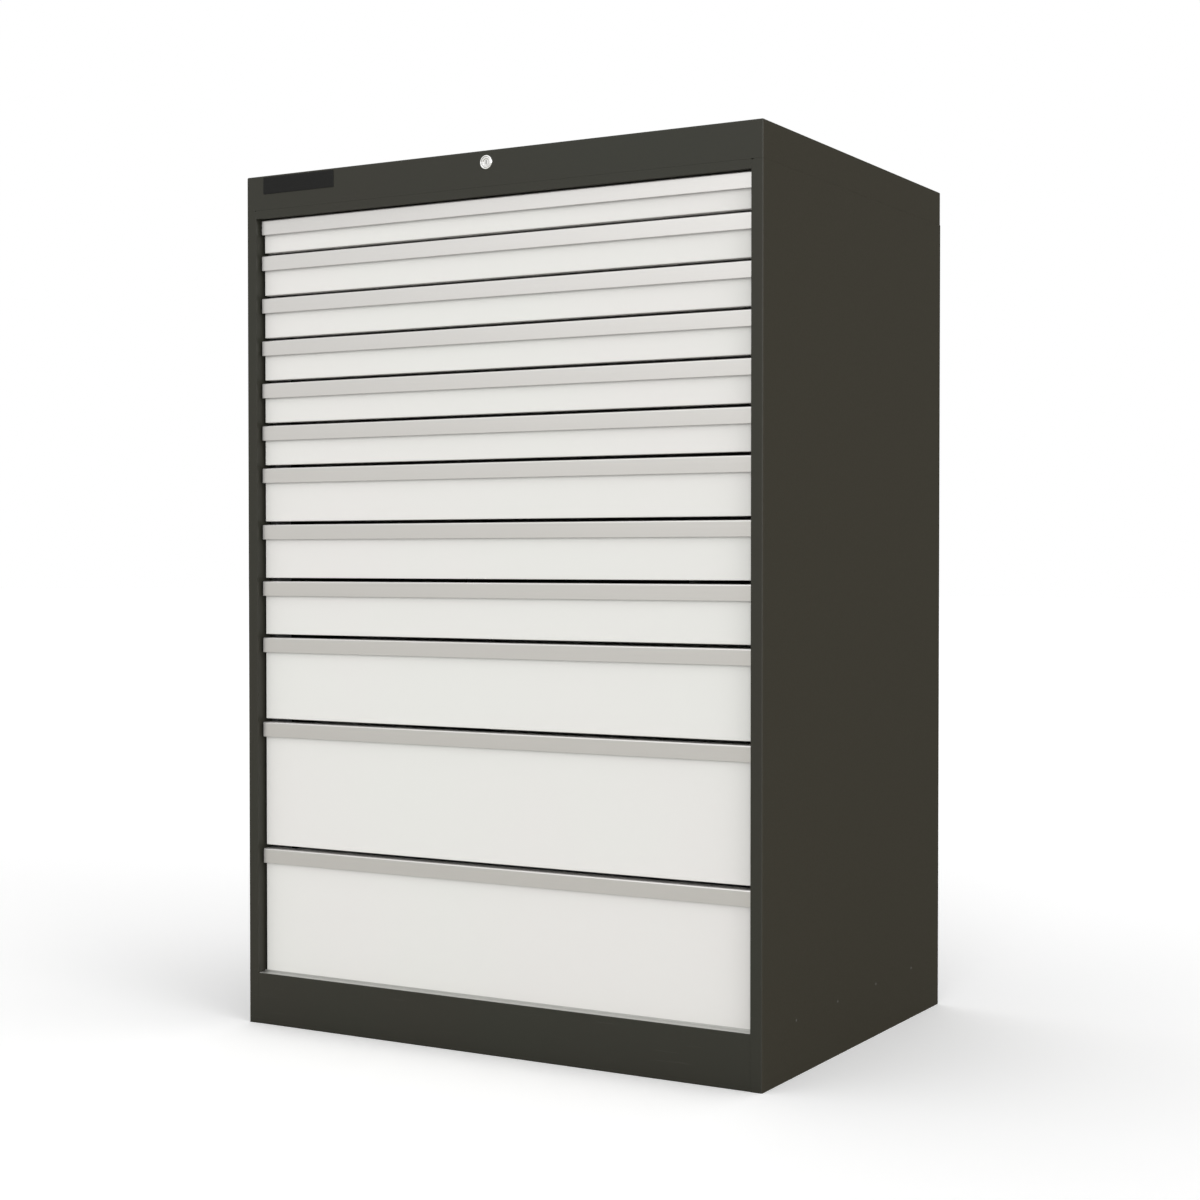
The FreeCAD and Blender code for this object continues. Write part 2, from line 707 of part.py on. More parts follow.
def tray(number, base, top):
    """Welded tray: floor, side and end walls, box-folded front, rails for the rollers, lock catch."""
    name = f"drawer_{number:02d}_tray"
    sheet = S["front_sheet"]
    low = base + S["tray_floor_rise"]
    high = top - S["tray_top_drop"]
    floor_top = low + sheet
    inside_front, inside_rear = FACE_REAR + sheet, TRAY_REAR - sheet
    floor = new_body(f"{name}_floor")
    pad(floor, "floor", "XZ", [rectangle(-TRAY_HALF, low, TRAY_HALF, floor_top)], inside_front, inside_rear)
    side = new_body(f"{name}_side")
    hem = TRAY_HALF + S["tray_hem"]
    outline = [
        (TRAY_HALF - sheet, floor_top),
        (TRAY_HALF, floor_top),
        (TRAY_HALF, high - sheet),
        (hem, high - sheet),
        (hem, high),
        (TRAY_HALF - sheet, high),
    ]
    pad(side, "side", "XZ", [outline], inside_front, inside_rear)
    rear = new_body(f"{name}_rear_wall")
    outline = rectangle(-TRAY_HALF, low, TRAY_HALF, high)
    pad(rear, "wall", "XZ", [outline], inside_rear, TRAY_REAR)
    half_front = POST_INNER - S["side_gap"]
    liner = new_body(f"{name}_front_liner")
    outline = rectangle(-half_front, low, half_front, top)
    pad(liner, "liner", "XZ", [outline], FACE_REAR, inside_front)
    face = new_body(f"{name}_front")
    face_low, face_high = base + S["front_gap"], top - S["grip_depth"]
    outline = rectangle(-half_front, face_low, half_front, face_high)
    pad(face, "front", "XZ", [outline], FACE, FACE_REAR)
    hollow = rectangle(
        -half_front + sheet, face_low + sheet, half_front - sheet, face_high - sheet
    )
    pocket(face, "folds", "XZ", FACE + sheet, FACE_REAR, outlines=[hollow])
    rail = new_body(f"{name}_rail")
    wall = S["runner_wall"]
    rail_low = base + S["runner_rise"]
    rail_high = rail_low + S["runner_height"]
    outline = channel_outline(TRAY_HALF, RAIL_TIP, rail_low, rail_high, wall)
    pad(rail, "channel", "XZ", [outline], inside_front, TRAY_REAR)
    stop = rectangle(TRAY_HALF + wall, rail_low + wall, RAIL_TIP, rail_high - wall)
    pad(rail, "rear_stop", "XZ", [stop], TRAY_REAR - wall, TRAY_REAR)
    catch = new_body(f"{name}_catch")
    thick = S["catch_sheet"]
    under = base + S["catch_rise"]
    outline = [
        (TRAY_REAR, under),
        (CATCH_TIP - thick, under),
        (CATCH_TIP - thick, under - S["catch_lip"]),
        (CATCH_TIP, under - S["catch_lip"]),
        (CATCH_TIP, under + thick),
        (TRAY_REAR, under + thick),
    ]
    pad(catch, "catch", "YZ", [outline], -S["catch_width"] / 2, S["catch_width"] / 2)
    sides = [side, mirrored(f"{name}_side_left", side)]
    rails = [rail, mirrored(f"{name}_rail_left", rail)]
    pieces = [floor, *sides, rear, liner, face, *rails, catch]
    keep(name, group(name, pieces))


def handle(number, top):
    """Full-width extrusion: a lip in front, a cup for the fingers behind it, open below."""
    name = f"drawer_{number:02d}_handle"
    body = new_body(name)
    wall = S["handle_wall"]
    lip = FRONT + S["handle_setback"]
    foot = top - S["handle_height"]
    cup = top - S["grip_depth"]
    bead = lip + wall + S["handle_bead"]
    outline = [
        (lip, foot),
        (bead, foot),
        (bead, foot + wall),
        (lip + wall, foot + wall),
        (lip + wall, top - wall),
        (FACE_REAR - wall, top - wall),
        (FACE_REAR - wall, cup),
        (FACE_REAR, cup),
        (FACE_REAR, top),
        (lip + S["handle_bevel"], top),
        (lip, top - S["handle_bevel"]),
    ]
    half = POST_INNER - S["side_gap"]
    pad(body, "extrusion", "YZ", [outline], -half, half)
    keep(name, body)


def revolved(name, outline, level):
    """A piece turned about the lock's axis, which runs from front to back at that level."""
    body = new_body(name)
    sketch = new_sketch(body, f"{name}_outline", "YZ", ZERO)
    add_outline(sketch, outline)
    feature = body.newObject("PartDesign::Revolution", "turning")
    feature.Profile = sketch
    feature.ReferenceAxis = (sketch, ["H_Axis"])
    feature.Angle = 360
    body.Tip = feature
    body.setExpression("Placement.Base.z", level.text)
    return body


def lock_barrel():
    """Bezel and body of the lock, with the nut that holds it behind the fascia."""
    bore = S["plug_radius"] + S["barrel_play"]
    rim, proud = S["bezel_radius"], FRONT - S["bezel_proud"]
    outline = [
        (proud, bore),
        (proud, rim),
        (FRONT, rim),
        (FRONT, S["barrel_radius"]),
        (PLUG_REAR, S["barrel_radius"]),
        (PLUG_REAR, bore),
    ]
    keep("lock_barrel", revolved("lock_barrel", outline, LOCK_Z))
    nut = new_body("lock_nut")
    rim = S["nut_across"] / 2 / math.cos(math.pi / 6)
    corners = [
        (rim * math.cos(math.pi / 3 * i), LOCK_Z + rim * math.sin(math.pi / 3 * i))
        for i in range(6)
    ]
    front = FRONT + S["cap_sheet"]
    pad(nut, "hexagon", "XZ", [corners], front, front + S["nut_thickness"])
    hole = (ZERO, LOCK_Z, S["barrel_radius"] + S["barrel_play"])
    pocket(nut, "thread", "XZ", front, front + S["nut_thickness"], circles=[hole])
    keep("lock_nut", nut)


def lock_plug():
    """Turning plug with a shuttered key slot."""
    front = FRONT - S["bezel_proud"] + S["plug_recess"]
    body = revolved("lock_plug", rectangle(front, ZERO, PLUG_REAR, S["plug_radius"]), LOCK_Z)
    half_length, half_width = S["keyway_length"] / 2, S["keyway_width"] / 2
    slot = rectangle(-half_width, -half_length, half_width, half_length)
    pocket(body, "keyway", "XZ", front, front + S["keyway_depth"], outlines=[slot])
    keep("lock_plug", body)


def lock_shaft():
    """Shaft under the top, with its rear bearing bracket and the crank at its end."""
    shaft = DOC.addObject("Part::Cylinder", "lock_shaft")
    shaft.setExpression("Radius", S["shaft_radius"].text)
    start = (ZERO, PLUG_REAR, LOCK_Z)
    keep("lock_shaft", lay_down(shaft, (1, 0, 0), -90, start, CRANK_FRONT - PLUG_REAR))
    bearing = new_body("shaft_bearing")
    wall = S["bearing_sheet"]
    rear = CRANK_FRONT - S["bearing_gap"]
    ceiling = TOP - S["cap_sheet"]
    foot = LOCK_Z - S["bearing_drop"]
    outline = [
        (rear - wall, foot),
        (rear, foot),
        (rear, ceiling),
        (rear - S["bearing_flange"], ceiling),
        (rear - S["bearing_flange"], ceiling - wall),
        (rear - wall, ceiling - wall),
    ]
    half = S["bearing_half_width"]
    pad(bearing, "bracket", "YZ", [outline], -half, half)
    hole = (ZERO, LOCK_Z, S["shaft_radius"] + S["shaft_play"])
    pocket(bearing, "bearing_hole", "XZ", rear - wall, rear, circles=[hole])
    keep("shaft_bearing", bearing)


def lock_crank():
    """Crank drawn along X, then turned so that half of its turn lies on each side of level."""
    body = new_body("lock_crank")
    half, arm = S["crank_half_width"], S["crank_radius"]
    plate = rectangle(-arm - half, -half, half, half)
    pad(body, "plate", "XZ", [plate], CRANK_FRONT, CRANK_REAR)
    dress(
        body,
        "Chamfer",
        "corners",
        S["crank_bevel"],
        lambda edge: is_near(edge.BoundBox.YLength, S["crank_sheet"]),
    )
    reach = LOCK_BAR_REAR - CRANK_REAR + S["crank_gap"]
    sketch = new_sketch(body, "pin_outline", "XZ", CRANK_REAR + reach)
    add_circle(sketch, -arm, ZERO, S["crank_pin_radius"])
    pin = body.newObject("PartDesign::Pad", "pin")
    pin.Profile = sketch
    pin.setExpression("Length", reach.text)
    body.Tip = pin
    half_turn = S["crank_turn"].value / 2
    body.Placement = FreeCAD.Placement(
        FreeCAD.Vector(0, 0, LOCK_Z.value), FreeCAD.Rotation(FreeCAD.Vector(0, 1, 0), -half_turn)
    )
    body.setExpression("Placement.Base.z", LOCK_Z.text)
    keep("lock_crank", body)


def lock_bar():
    """Bar behind the drawers, with a welded finger for each catch. The crank lifts it."""
    body = new_body("lock_bar_strip")
    half, head = S["bar_half_width"], S["bar_head_half_width"]
    slot_half = S["crank_pin_radius"] + S["pin_play"]
    shoulder = PIN_LOW - S["bar_head_drop"]
    head_top = PIN_LOW + slot_half + S["bar_head_margin"]
    foot = STACK_BASE + S["finger_rise"]
    outline = [
        (-half, foot),
        (half, foot),
        (half, shoulder),
        (head, shoulder),
        (head, head_top),
        (-head, head_top),
        (-head, shoulder),
        (-half, shoulder),
    ]
    pad(body, "strip", "XZ", [outline], LOCK_BAR_FRONT, LOCK_BAR_REAR)
    finger_rear = CATCH_TIP - S["catch_sheet"] - S["finger_gap"]
    finger_front = finger_rear - S["finger_thickness"]
    tip_gap = S["finger_gap"]
    wide = S["finger_half_width"]
    pieces = [body]
    for number, base, _ in zones():
        low = base + S["finger_rise"]
        tip = base + S["catch_rise"] - S["catch_lip"] - tip_gap
        finger = [
            (finger_front, low),
            (LOCK_BAR_FRONT, low),
            (LOCK_BAR_FRONT, low + S["finger_foot"]),
            (finger_rear, low + S["finger_foot"]),
            (finger_rear, tip),
            (finger_front, tip),
        ]
        welded = new_body(f"finger_{number:02d}")
        pad(welded, "finger", "YZ", [finger], -wide, wide)
        pieces.append(welded)
    # The slot is as long as the pin's sideways swing.
    swing = S["crank_radius"] * math.cos(math.radians(S["crank_turn"].value / 2))
    slot = rectangle(
        -S["crank_radius"] - slot_half, PIN_LOW - slot_half, -swing + slot_half, PIN_LOW + slot_half
    )
    pocket(body, "pin_slot", "XZ", LOCK_BAR_FRONT, LOCK_BAR_REAR, outlines=[slot])
    keep("lock_bar", group("lock_bar", pieces))


def lock_bar_guides():
    """Clips on the back panel that hold the lock bar upright, each between two fingers."""
    half = S["bar_half_width"] + S["guide_play"]
    wall = S["guide_sheet"]
    lip = LOCK_BAR_FRONT - S["guide_play"]
    mouth = half - S["guide_lip"]
    outline = [
        (-half - wall, lip - wall),
        (-mouth, lip - wall),
        (-mouth, lip),
        (-half, lip),
        (-half, BACK_INNER - wall),
        (half, BACK_INNER - wall),
        (half, lip),
        (mouth, lip),
        (mouth, lip - wall),
        (half + wall, lip - wall),
        (half + wall, BACK_INNER),
        (-half - wall, BACK_INNER),
    ]
    guides = []
    bases = {number: base for number, base, _ in zones()}
    for number in GUIDED_DRAWERS:
        low = bases[number] - S["guide_drop"] - S["guide_height"] / 2
        body = new_body(f"guide_{number:02d}")
        pad(body, "clip", "XY", [outline], low, low + S["guide_height"])
        guides.append(body)
    keep("lock_bar_guides", group("lock_bar_guides", guides))


def check_document():
    """Stops if any object failed or any sub-part isn't a valid shape."""
    DOC.recompute()
    for item in DOC.Objects:
        if any(word in item.State for word in ("Invalid", "Error")):
            raise RuntimeError(f"{item.Label} is in state {item.State}")
    for name, item in NODES.items():
        if item.Shape.isNull() or not item.Shape.isValid() or not item.Shape.Solids:
            raise RuntimeError(f"{name} has no valid shape")


side_panel()
back_panel()
top_cap()
header_rail()
plinth_rail()
floor_pan()
base_rails()
fixed_runners()
for drawer_number, zone_base, handle_top in zones():
    tray(drawer_number, zone_base, handle_top)
    handle(drawer_number, handle_top)
    carriage(drawer_number, zone_base)
lock_barrel()
lock_plug()
lock_shaft()
lock_crank()
lock_bar()
lock_bar_guides()
check_document()
os.makedirs("parts", exist_ok=True)
for node_name, node in NODES.items():
    node.Shape.exportStep(f"parts/{node_name}.step")
print(f"{len(NODES)} sub-parts, {TOP.value:.1f} high")
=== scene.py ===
"""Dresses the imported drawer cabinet: bent sheets, extruded handles, roller carriages, lock and studio."""

import math

import bmesh
import bpy
import numpy as np
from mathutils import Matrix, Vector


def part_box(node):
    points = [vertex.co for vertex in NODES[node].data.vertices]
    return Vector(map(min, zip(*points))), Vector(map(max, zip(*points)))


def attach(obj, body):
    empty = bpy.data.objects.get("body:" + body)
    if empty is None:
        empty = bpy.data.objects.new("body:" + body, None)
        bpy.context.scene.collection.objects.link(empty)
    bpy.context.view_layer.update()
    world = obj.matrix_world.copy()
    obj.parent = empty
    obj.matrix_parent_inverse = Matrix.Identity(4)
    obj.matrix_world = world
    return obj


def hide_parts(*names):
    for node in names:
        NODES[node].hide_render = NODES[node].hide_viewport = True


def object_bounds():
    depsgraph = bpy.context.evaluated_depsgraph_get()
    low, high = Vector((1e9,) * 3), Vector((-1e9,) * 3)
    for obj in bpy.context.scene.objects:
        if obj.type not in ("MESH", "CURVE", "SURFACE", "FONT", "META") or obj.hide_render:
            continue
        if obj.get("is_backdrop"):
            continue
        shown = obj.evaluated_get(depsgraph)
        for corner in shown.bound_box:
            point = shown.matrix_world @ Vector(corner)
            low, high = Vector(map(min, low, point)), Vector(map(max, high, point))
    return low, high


bl_info = {
    "name": "Drawer cabinet",
    "version": (1, 0, 0),
    "blender": (4, 5, 0),
    "location": "View3D > Sidebar > Cabinet",
    "description": "Makes the visible pieces and finishes of a heavy-duty drawer cabinet",
    "category": "Object",
}

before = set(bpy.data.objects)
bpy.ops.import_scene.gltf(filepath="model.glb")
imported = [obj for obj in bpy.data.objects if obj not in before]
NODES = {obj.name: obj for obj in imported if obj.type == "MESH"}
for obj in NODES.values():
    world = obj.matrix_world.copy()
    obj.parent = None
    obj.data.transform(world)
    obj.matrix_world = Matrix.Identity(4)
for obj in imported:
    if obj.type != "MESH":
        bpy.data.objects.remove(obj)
CAD_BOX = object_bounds()
DRAWERS = sorted(name[:9] for name in NODES if name.endswith("_tray"))
MM = 0.001
X, Y, Z = 0, 1, 2

# Flats in one rounded corner, from small edges up to the bends that show most.
EDGE_ARC, BEND_ARC, SHOWN_ARC, CORNER_ARC = 3, 4, 5, 6
# The smallest radii: of a pan's corner, inside a bend, and where a sheet is cut.
SHARPEST_CORNER, SHARPEST_BEND, CUT_EDGE = 0.1 * MM, 0.15 * MM, 0.18 * MM
# Faces that meet at a larger angle than this keep a sharp edge between them.
SHARP_ANGLE = math.radians(32)
SENSOR_WIDTH = 36


def length(name, description, millimetres):
    """A length as a property, with its default in millimetres."""
    metres = millimetres * MM
    return bpy.props.FloatProperty(name=name, description=description, default=metres, unit="LENGTH")


def angle(name, description, degrees):
    """An angle as a property, with its default in degrees."""
    radians = math.radians(degrees)
    return bpy.props.FloatProperty(name=name, description=description, default=radians, unit="ROTATION")


def amount(name, description, default):
    """A plain number as a property."""
    return bpy.props.FloatProperty(name=name, description=description, default=default)


def colour(name, description, default):
    """A colour as a property, with its default in linear light."""
    return bpy.props.FloatVectorProperty(
        name=name, description=description, default=default, subtype="COLOR", min=0, max=1
    )


class CabinetSizes(bpy.types.PropertyGroup):
    """Sheet thicknesses, bends and small parts. What the frame already fixes is read from the frame."""

    # Housing
    panel_sheet: length("Panel sheet", "Side panels, header and plinth", 1.2)
    cap_sheet: length("Cap sheet", "Top cap", 1.5)
    cap_return: length("Cap return", "Rim folded in under the cap", 15)
    housing_bend: length("Housing bend", "Outer radius of the housing's corners", 2.5)
    plinth_bend: length("Plinth bend", "Outer radius of the plinth rail's bends", 1.6)
    seam_bend: length("Seam bend", "Outer radius of the bends at the seam", 0.3)
    post_width: length("Post width", "Front face of a post", 20.5)
    post_return: length("Post return", "Depth of a post and of the ledge", 40)
    side_flange: length("Side flange", "Top flange of a side panel", 18)
    rear_flange: length("Rear flange", "Flange that carries the back panel", 20)
    header_flange: length("Header flange", "Top flange of the header rail", 27.5)
    pan_drop: length("Pan drop", "Ledge down to the floor pan", 15)
    pan_toe: length("Pan toe", "Foot of the plinth rail on the floor pan", 12.5)
    plinth_foot: length("Plinth foot", "Bottom return of the plinth rail", 27.5)
    # Drawers
    tray_sheet: length("Tray sheet", "Drawer front and tray", 1.2)
    tray_bend: length("Tray bend", "Outer radius of the tray's bends", 1.8)
    front_bend: length("Front bend", "Corner radius of the drawer front", 0.9)
    rail_bend: length("Rail bend", "Outer radius of the drawer rails' bends", 3)
    catch_bend: length("Catch bend", "Outer radius of the catch's bends", 2.5)
    tray_hem: length("Tray hem", "Outward fold along the tray's sides", 10)
    front_depth: length("Front depth", "Box-folded drawer front", 15)
    front_gap: length("Front gap", "Drawer front above its tray's zone", 8)
    floor_rise: length("Floor rise", "Tray floor above the drawer's zone", 10)
    rail_offset: length("Rail offset", "Tray side inside the end of the front", 28)
    tray_top_drop: length("Tray drop", "Tray side below the handle's top", 8)
    channel_wall: length("Channel wall", "Wall of the drawer rails", 2)
    channel_depth: length("Channel depth", "Flange of the drawer rails", 13)
    rail_rise: length("Rail rise", "Drawer rail above the tray's floor", 4)
    rail_height: length("Rail height", "Drawer rail", 36)
    catch_length: length("Catch length", "Lock catch behind the rear wall", 25.5)
    catch_width: length("Catch width", "Lock catch", 40)
    catch_rise: length("Catch rise", "Catch above the tray's floor", 36)
    catch_lip: length("Catch lip", "Hanging lip of the catch", 15)
    # Handles
    handle_wall: length("Handle wall", "Wall of the handle's extrusion", 1.8)
    handle_bead: length("Handle bead", "Inward bead at the foot of the lip", 2)
    handle_bend: length("Handle bend", "Rounded top front edge", 2.4)
    grip_depth: length("Grip depth", "Finger cup below the top of the handle", 23)
    # Carriages
    bar_thickness: length("Bar thickness", "Bar that carries the rollers", 6)
    bar_height: length("Bar height", "Bar that carries the rollers", 24)
    bar_nose: length("Bar nose", "Rounded ends of the bar", 8)
    carriage_setback: length("Carriage setback", "Bar behind the runner's front end", 4)
    roller_length: length("Roller length", "Nylon roller", 10)
    roller_play: length("Roller play", "Roller to its bar", 0.4)
    hub_recess: length("Hub recess", "Dished face of a roller", 1.4)
    rivet_radius: length("Rivet", "Radius of a roller's rivet", 3)
    roller_radius: length("Roller radius", "Nylon roller", 15.7)
    roller_margin: length("Roller margin", "Roller to the channel's end", 9)
    travel: length("Travel", "Full extension of a drawer", 670)
    # Lock
    rim_overlap: length("Rim overlap", "Rim of the lock over its hole", 1.2)
    keyway_length: length("Keyway length", "Shuttered key slot", 7)
    keyway_width: length("Keyway width", "Shuttered key slot", 1.2)
    # Bare plate
    plate_width: length("Plate width", "Bare plate on the cap", 153.5)
    plate_height: length("Plate height", "Bare plate on the cap", 29.5)
    plate_left: length("Plate left", "Left end of the plate from the middle", -467.5)
    plate_top: length("Plate top", "Plate below the top of the cap", 3)
    plate_thickness: length("Plate thickness", "Bare plate", 1)
    plate_corner: length("Plate corner", "Corner radius of the plate", 1.6)
    # Strip on the ledge, a painted sheen: a light satin strip stands in for light on the dark ledge, and
    # its upstand fills the shaded gap below the drawer
    strip_depth: length("Strip depth", "Ledge strip, front to back", 17)
    strip_thickness: length("Strip thickness", "Ledge strip", 0.8)
    strip_rise: length("Strip rise", "Upstand of the ledge strip below the drawer", 3.2)
    strip_gap: length("Strip gap", "Ledge strip to the edges of the ledge", 1.2)
    # Marks in the coat
    spot_radius: length("Spot weld", "Radius of a spot weld on the sides", 2.2)
    spot_first: length("First spot weld", "Foremost spot weld from the middle of the depth", -250.5)
    spot_pitch: length("Spot pitch", "Distance between spot welds", 164.5)
    spot_level: length("Spot level", "Spot welds above the ground", 90)
    flush_radius: length("Flush rivet", "Radius of a rivet on the back", 3.5)
    flush_first: length("First rivet", "Lowest rivet above the ground", 120)
    flush_pitch: length("Rivet pitch", "Distance between the back's rivets", 200)
    flush_inset: length("Rivet inset", "Back's rivets from the edge", 10.5)


class CabinetColours(bpy.types.PropertyGroup):
    """Colours of the finishes, in linear light."""

    housing: colour("Housing", "Dark bronze-grey powder coat", (0.0315, 0.0298, 0.023))
    housing_cool: colour("Housing, cool", "The same coat where it is greener", (0.0305, 0.0308, 0.0235))
    # Painted light: the sides get a lighter, warmer copy of the housing coat, standing in for the light
    # that falls on them.
    housing_side: colour("Housing, sides", "The same coat on the sides, warmer", (0.0445, 0.0405, 0.029))
    housing_scuff: colour("Housing, scuffs", "Scuffs and weld marks", (0.1, 0.096, 0.086))
    drawer: colour("Drawer", "Near-white powder coat", (0.752, 0.752, 0.718))
    drawer_warm: colour("Drawer, warm", "The same coat where it is warmer", (0.757, 0.742, 0.718))
    drawer_scuff: colour("Drawer, scuffs", "Scuffs", (0.6, 0.6, 0.57))
    handle: colour("Handle", "Satin anodised aluminium", (0.72, 0.707, 0.692))
    zinc: colour("Zinc", "Bright zinc-plated steel", (0.58, 0.58, 0.57))
    zinc_dark: colour("Zinc, dull", "Duller flakes in the plating", (0.47, 0.48, 0.49))
    chrome: colour("Chrome", "Polished rim of the lock", (0.86, 0.86, 0.85))
    plug: colour("Plug", "Satin plug of the lock", (0.72, 0.715, 0.705))
    # Painted sheen: the strip's light grey stands in for light on the dark ledge.
    sill: colour("Sill", "Satin strip on the ledge", (0.52, 0.52, 0.5))
    nylon: colour("Nylon", "Rollers", (0.6, 0.59, 0.55))
    plate: colour("Plate", "Bare enamelled plate", (0.006, 0.006, 0.0055))
    floor: colour("Floor", "Pale floor", (0.78, 0.78, 0.78))


class StudioSettings(bpy.types.PropertyGroup):
    """Camera, lamps and background."""

    camera_place: bpy.props.FloatVectorProperty(
        name="Camera",
        description="Where the photograph was taken from",
        default=(1.89224, -3.28534, 0.82505),
        unit="LENGTH",
    )
    camera_turn: angle("Turn", "Camera turned to the left", 29.955)
    camera_dip: angle("Dip", "Camera tilted down", 1.117)
    lens: amount("Lens", "Focal length in mm on a 36 mm frame", 62.737)
    floor_size: length("Floor", "Side of the floor", 80000)
    floor_shown: amount("Floor shown", "How pale the camera sees the floor", 1.16)
    floor_mirrored: amount("Floor mirrored", "How pale shiny pieces mirror the floor", 0.58)
    sky_colour: colour("Sky", "Colour of the soft light", (1, 1, 1))
    sky_strength: amount("Sky strength", "Soft light", 0.6)
    sky_top: amount("Sky, top", "How much brighter the soft light is overhead", 0.5)
    sky_front: amount("Sky, front", "How much brighter the soft light is in front", 0.25)
    mirror_low: amount("Screen, low", "Screen that shiny pieces mirror, at its foot", 0.66)
    mirror_rise: amount("Screen, rise", "How much brighter the screen is at its top", 1.5)
    mirror_top: amount("Screen, top", "How much brighter the screen is overhead", 1.2)
    mirror_side: amount("Screen, side", "Share of its light beside and behind the cabinet", 0.12)
    mirror_tint: colour("Screen, tint", "The screen's foot and the mirrored floor", (1, 0.975, 0.875))
    front_turn: angle("Front lamp", "Where the front lamp stands, to the right", 22)
    side_turn: angle("Side lamp", "Where the side lamp stands, to the right", 72)
    lamp_rise: angle("Lamp rise", "How high both lamps stand", 9)
    lamp_width: angle("Lamp width", "How wide both lamps look", 34)
    front_power: amount("Front power", "Strength", 0.95)
    side_power: amount("Side power", "Strength", 1.05)
    lamp_gloss: amount("Lamp gloss", "Share of the lamps' light in highlights", 0.35)


class Value:
    """Wraps a shader socket, so that an expression on values adds its Math nodes."""

    def __init__(self, nodes, socket):
        self.nodes = nodes
        self.socket = socket

    def math(self, operation, *others):
        return self.nodes.add("ShaderNodeMath", {"operation": operation}, self, *others)

    def __add__(self, other):
        return self.math("ADD", other)

    __radd__ = __add__

    def __sub__(self, other):
        return self.math("SUBTRACT", other)

    def __rsub__(self, other):
        return self.nodes.add("ShaderNodeMath", {"operation": "SUBTRACT"}, other, self)

    def __mul__(self, other):
        return self.math("MULTIPLY", other)

    __rmul__ = __mul__

    def at_least(self, other):
        return self.math("MAXIMUM", other)

    def size(self):
        return self.math("ABSOLUTE")

    def above(self, level, width):
        """0 below the level and 1 above it, with a soft step of that width."""
        settings = {"interpolation_type": "SMOOTHSTEP"}
        return self.nodes.add("ShaderNodeMapRange", settings, self, level - width / 2, level + width / 2)

    def below(self, level, width):
        """1 below the level and 0 above it."""
        return 1 - self.above(level, width)

    def about(self, mean, spread):
        """Noise of 0 to 1 turned into values that spread about a mean."""
        return mean + (self - 0.5) * spread


class Nodes:
    """The node tree of a material or a world."""

    def __init__(self, owner):
        owner.use_nodes = True
        self.tree = owner.node_tree
        self.tree.nodes.clear()

    def add(self, kind, settings=None, *inputs, out=0, **named):
        """Adds a node, makes its settings first, then sets or links its sockets."""
        node = self.tree.nodes.new(kind)
        for key, value in (settings or {}).items():
            setattr(node, key, value)
        sockets = list(enumerate(inputs)) + [(key.replace("_", " "), value) for key, value in named.items()]
        for key, value in sockets:
            if isinstance(value, Value):
                self.tree.links.new(value.socket, node.inputs[key])
            elif value is not None:
                node.inputs[key].default_value = value
        return Value(self, node.outputs[out]) if node.outputs else None

    def place(self):
        return self.add("ShaderNodeTexCoord", out="Object")

    def parts(self, vector):
        """The x, y and z of a vector as three values."""
        split = self.add("ShaderNodeSeparateXYZ", None, vector).socket.node
        return [Value(self, output) for output in split.outputs]

    def noise(self, scale, stretch=(1, 1, 1), detail=2.0, roughness=0.5):
        """Noise of about 0 to 1 with that many bumps a metre, drawn out along an axis of small stretch."""
        vector = self.add("ShaderNodeMapping", None, self.place(), Scale=stretch)
        settings = {"Vector": vector, "Scale": scale, "Detail": detail, "Roughness": roughness}
        return self.add("ShaderNodeTexNoise", None, **settings)

    def blend(self, share, first, second):
        """A mix of two colours. The node keeps its colour sockets as inputs 6 and 7 and output 2."""
        first, second = (shade if isinstance(shade, Value) else (*shade, 1) for shade in (first, second))
        return self.add("ShaderNodeMix", {"data_type": "RGBA"}, share, *[None] * 5, first, second, out=2)

    def bump(self, height, distance, strength, under=None):
        """A relief of that depth on top of another one."""
        settings = {"Height": height, "Distance": distance, "Strength": strength, "Normal": under}
        return self.add("ShaderNodeBump", None, **settings)

    def by_ray(self, lit, mirrored, shown):
        """One shader for the light on the pieces, one for what they mirror and one for the camera."""
        glossy_ray = self.add("ShaderNodeLightPath", out="Is Glossy Ray")
        camera_ray = self.add("ShaderNodeLightPath", out="Is Camera Ray")
        mixed = self.add("ShaderNodeMixShader", None, glossy_ray, lit, mirrored)
        return self.add("ShaderNodeMixShader", None, camera_ray, mixed, shown)


def material(name, build):
    """Makes a material once. The build function gets its nodes and returns the shader's inputs."""
    found = bpy.data.materials.get(name)
    if found:
        return found
    made = bpy.data.materials.new(name)
    nodes = Nodes(made)
    shader = nodes.add("ShaderNodeBsdfPrincipled", None, **build(nodes))
    nodes.add("ShaderNodeOutputMaterial", None, shader)
    return made


def dimmed(shade, share):
    """A colour at a share of its light."""
    return tuple(share * part for part in shade)


def side_faces():
    """How far the outer faces of the sides lie from the middle."""
    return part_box("right_side_panel")[1].x


def weld_marks(nodes):
    """0 to 1: spot welds of the base rails in both sides, and flush rivets down the back's edges."""
    s = bpy.context.scene.cabinet_sizes
    x, y, z = nodes.parts(nodes.place())

    def row(along, first, pitch, across, level, radius):
        steps = (along - first) * (1 / pitch)
        near = (steps - steps.math("ROUND")) * pitch
        far = (near * near + (across - level) * (across - level)).math("SQRT")
        return far.below(radius, width=0.8 * MM)

    sides = row(y, s.spot_first, s.spot_pitch, z, s.spot_level, s.spot_radius)
    edge = side_faces() - s.flush_inset
    back = row(z, s.flush_first, s.flush_pitch, x.size(), edge, s.flush_radius)
    behind = y.above(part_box("back_panel")[1].y - 0.5 * MM, width=0.4 * MM)
    return sides.at_least(back * behind)


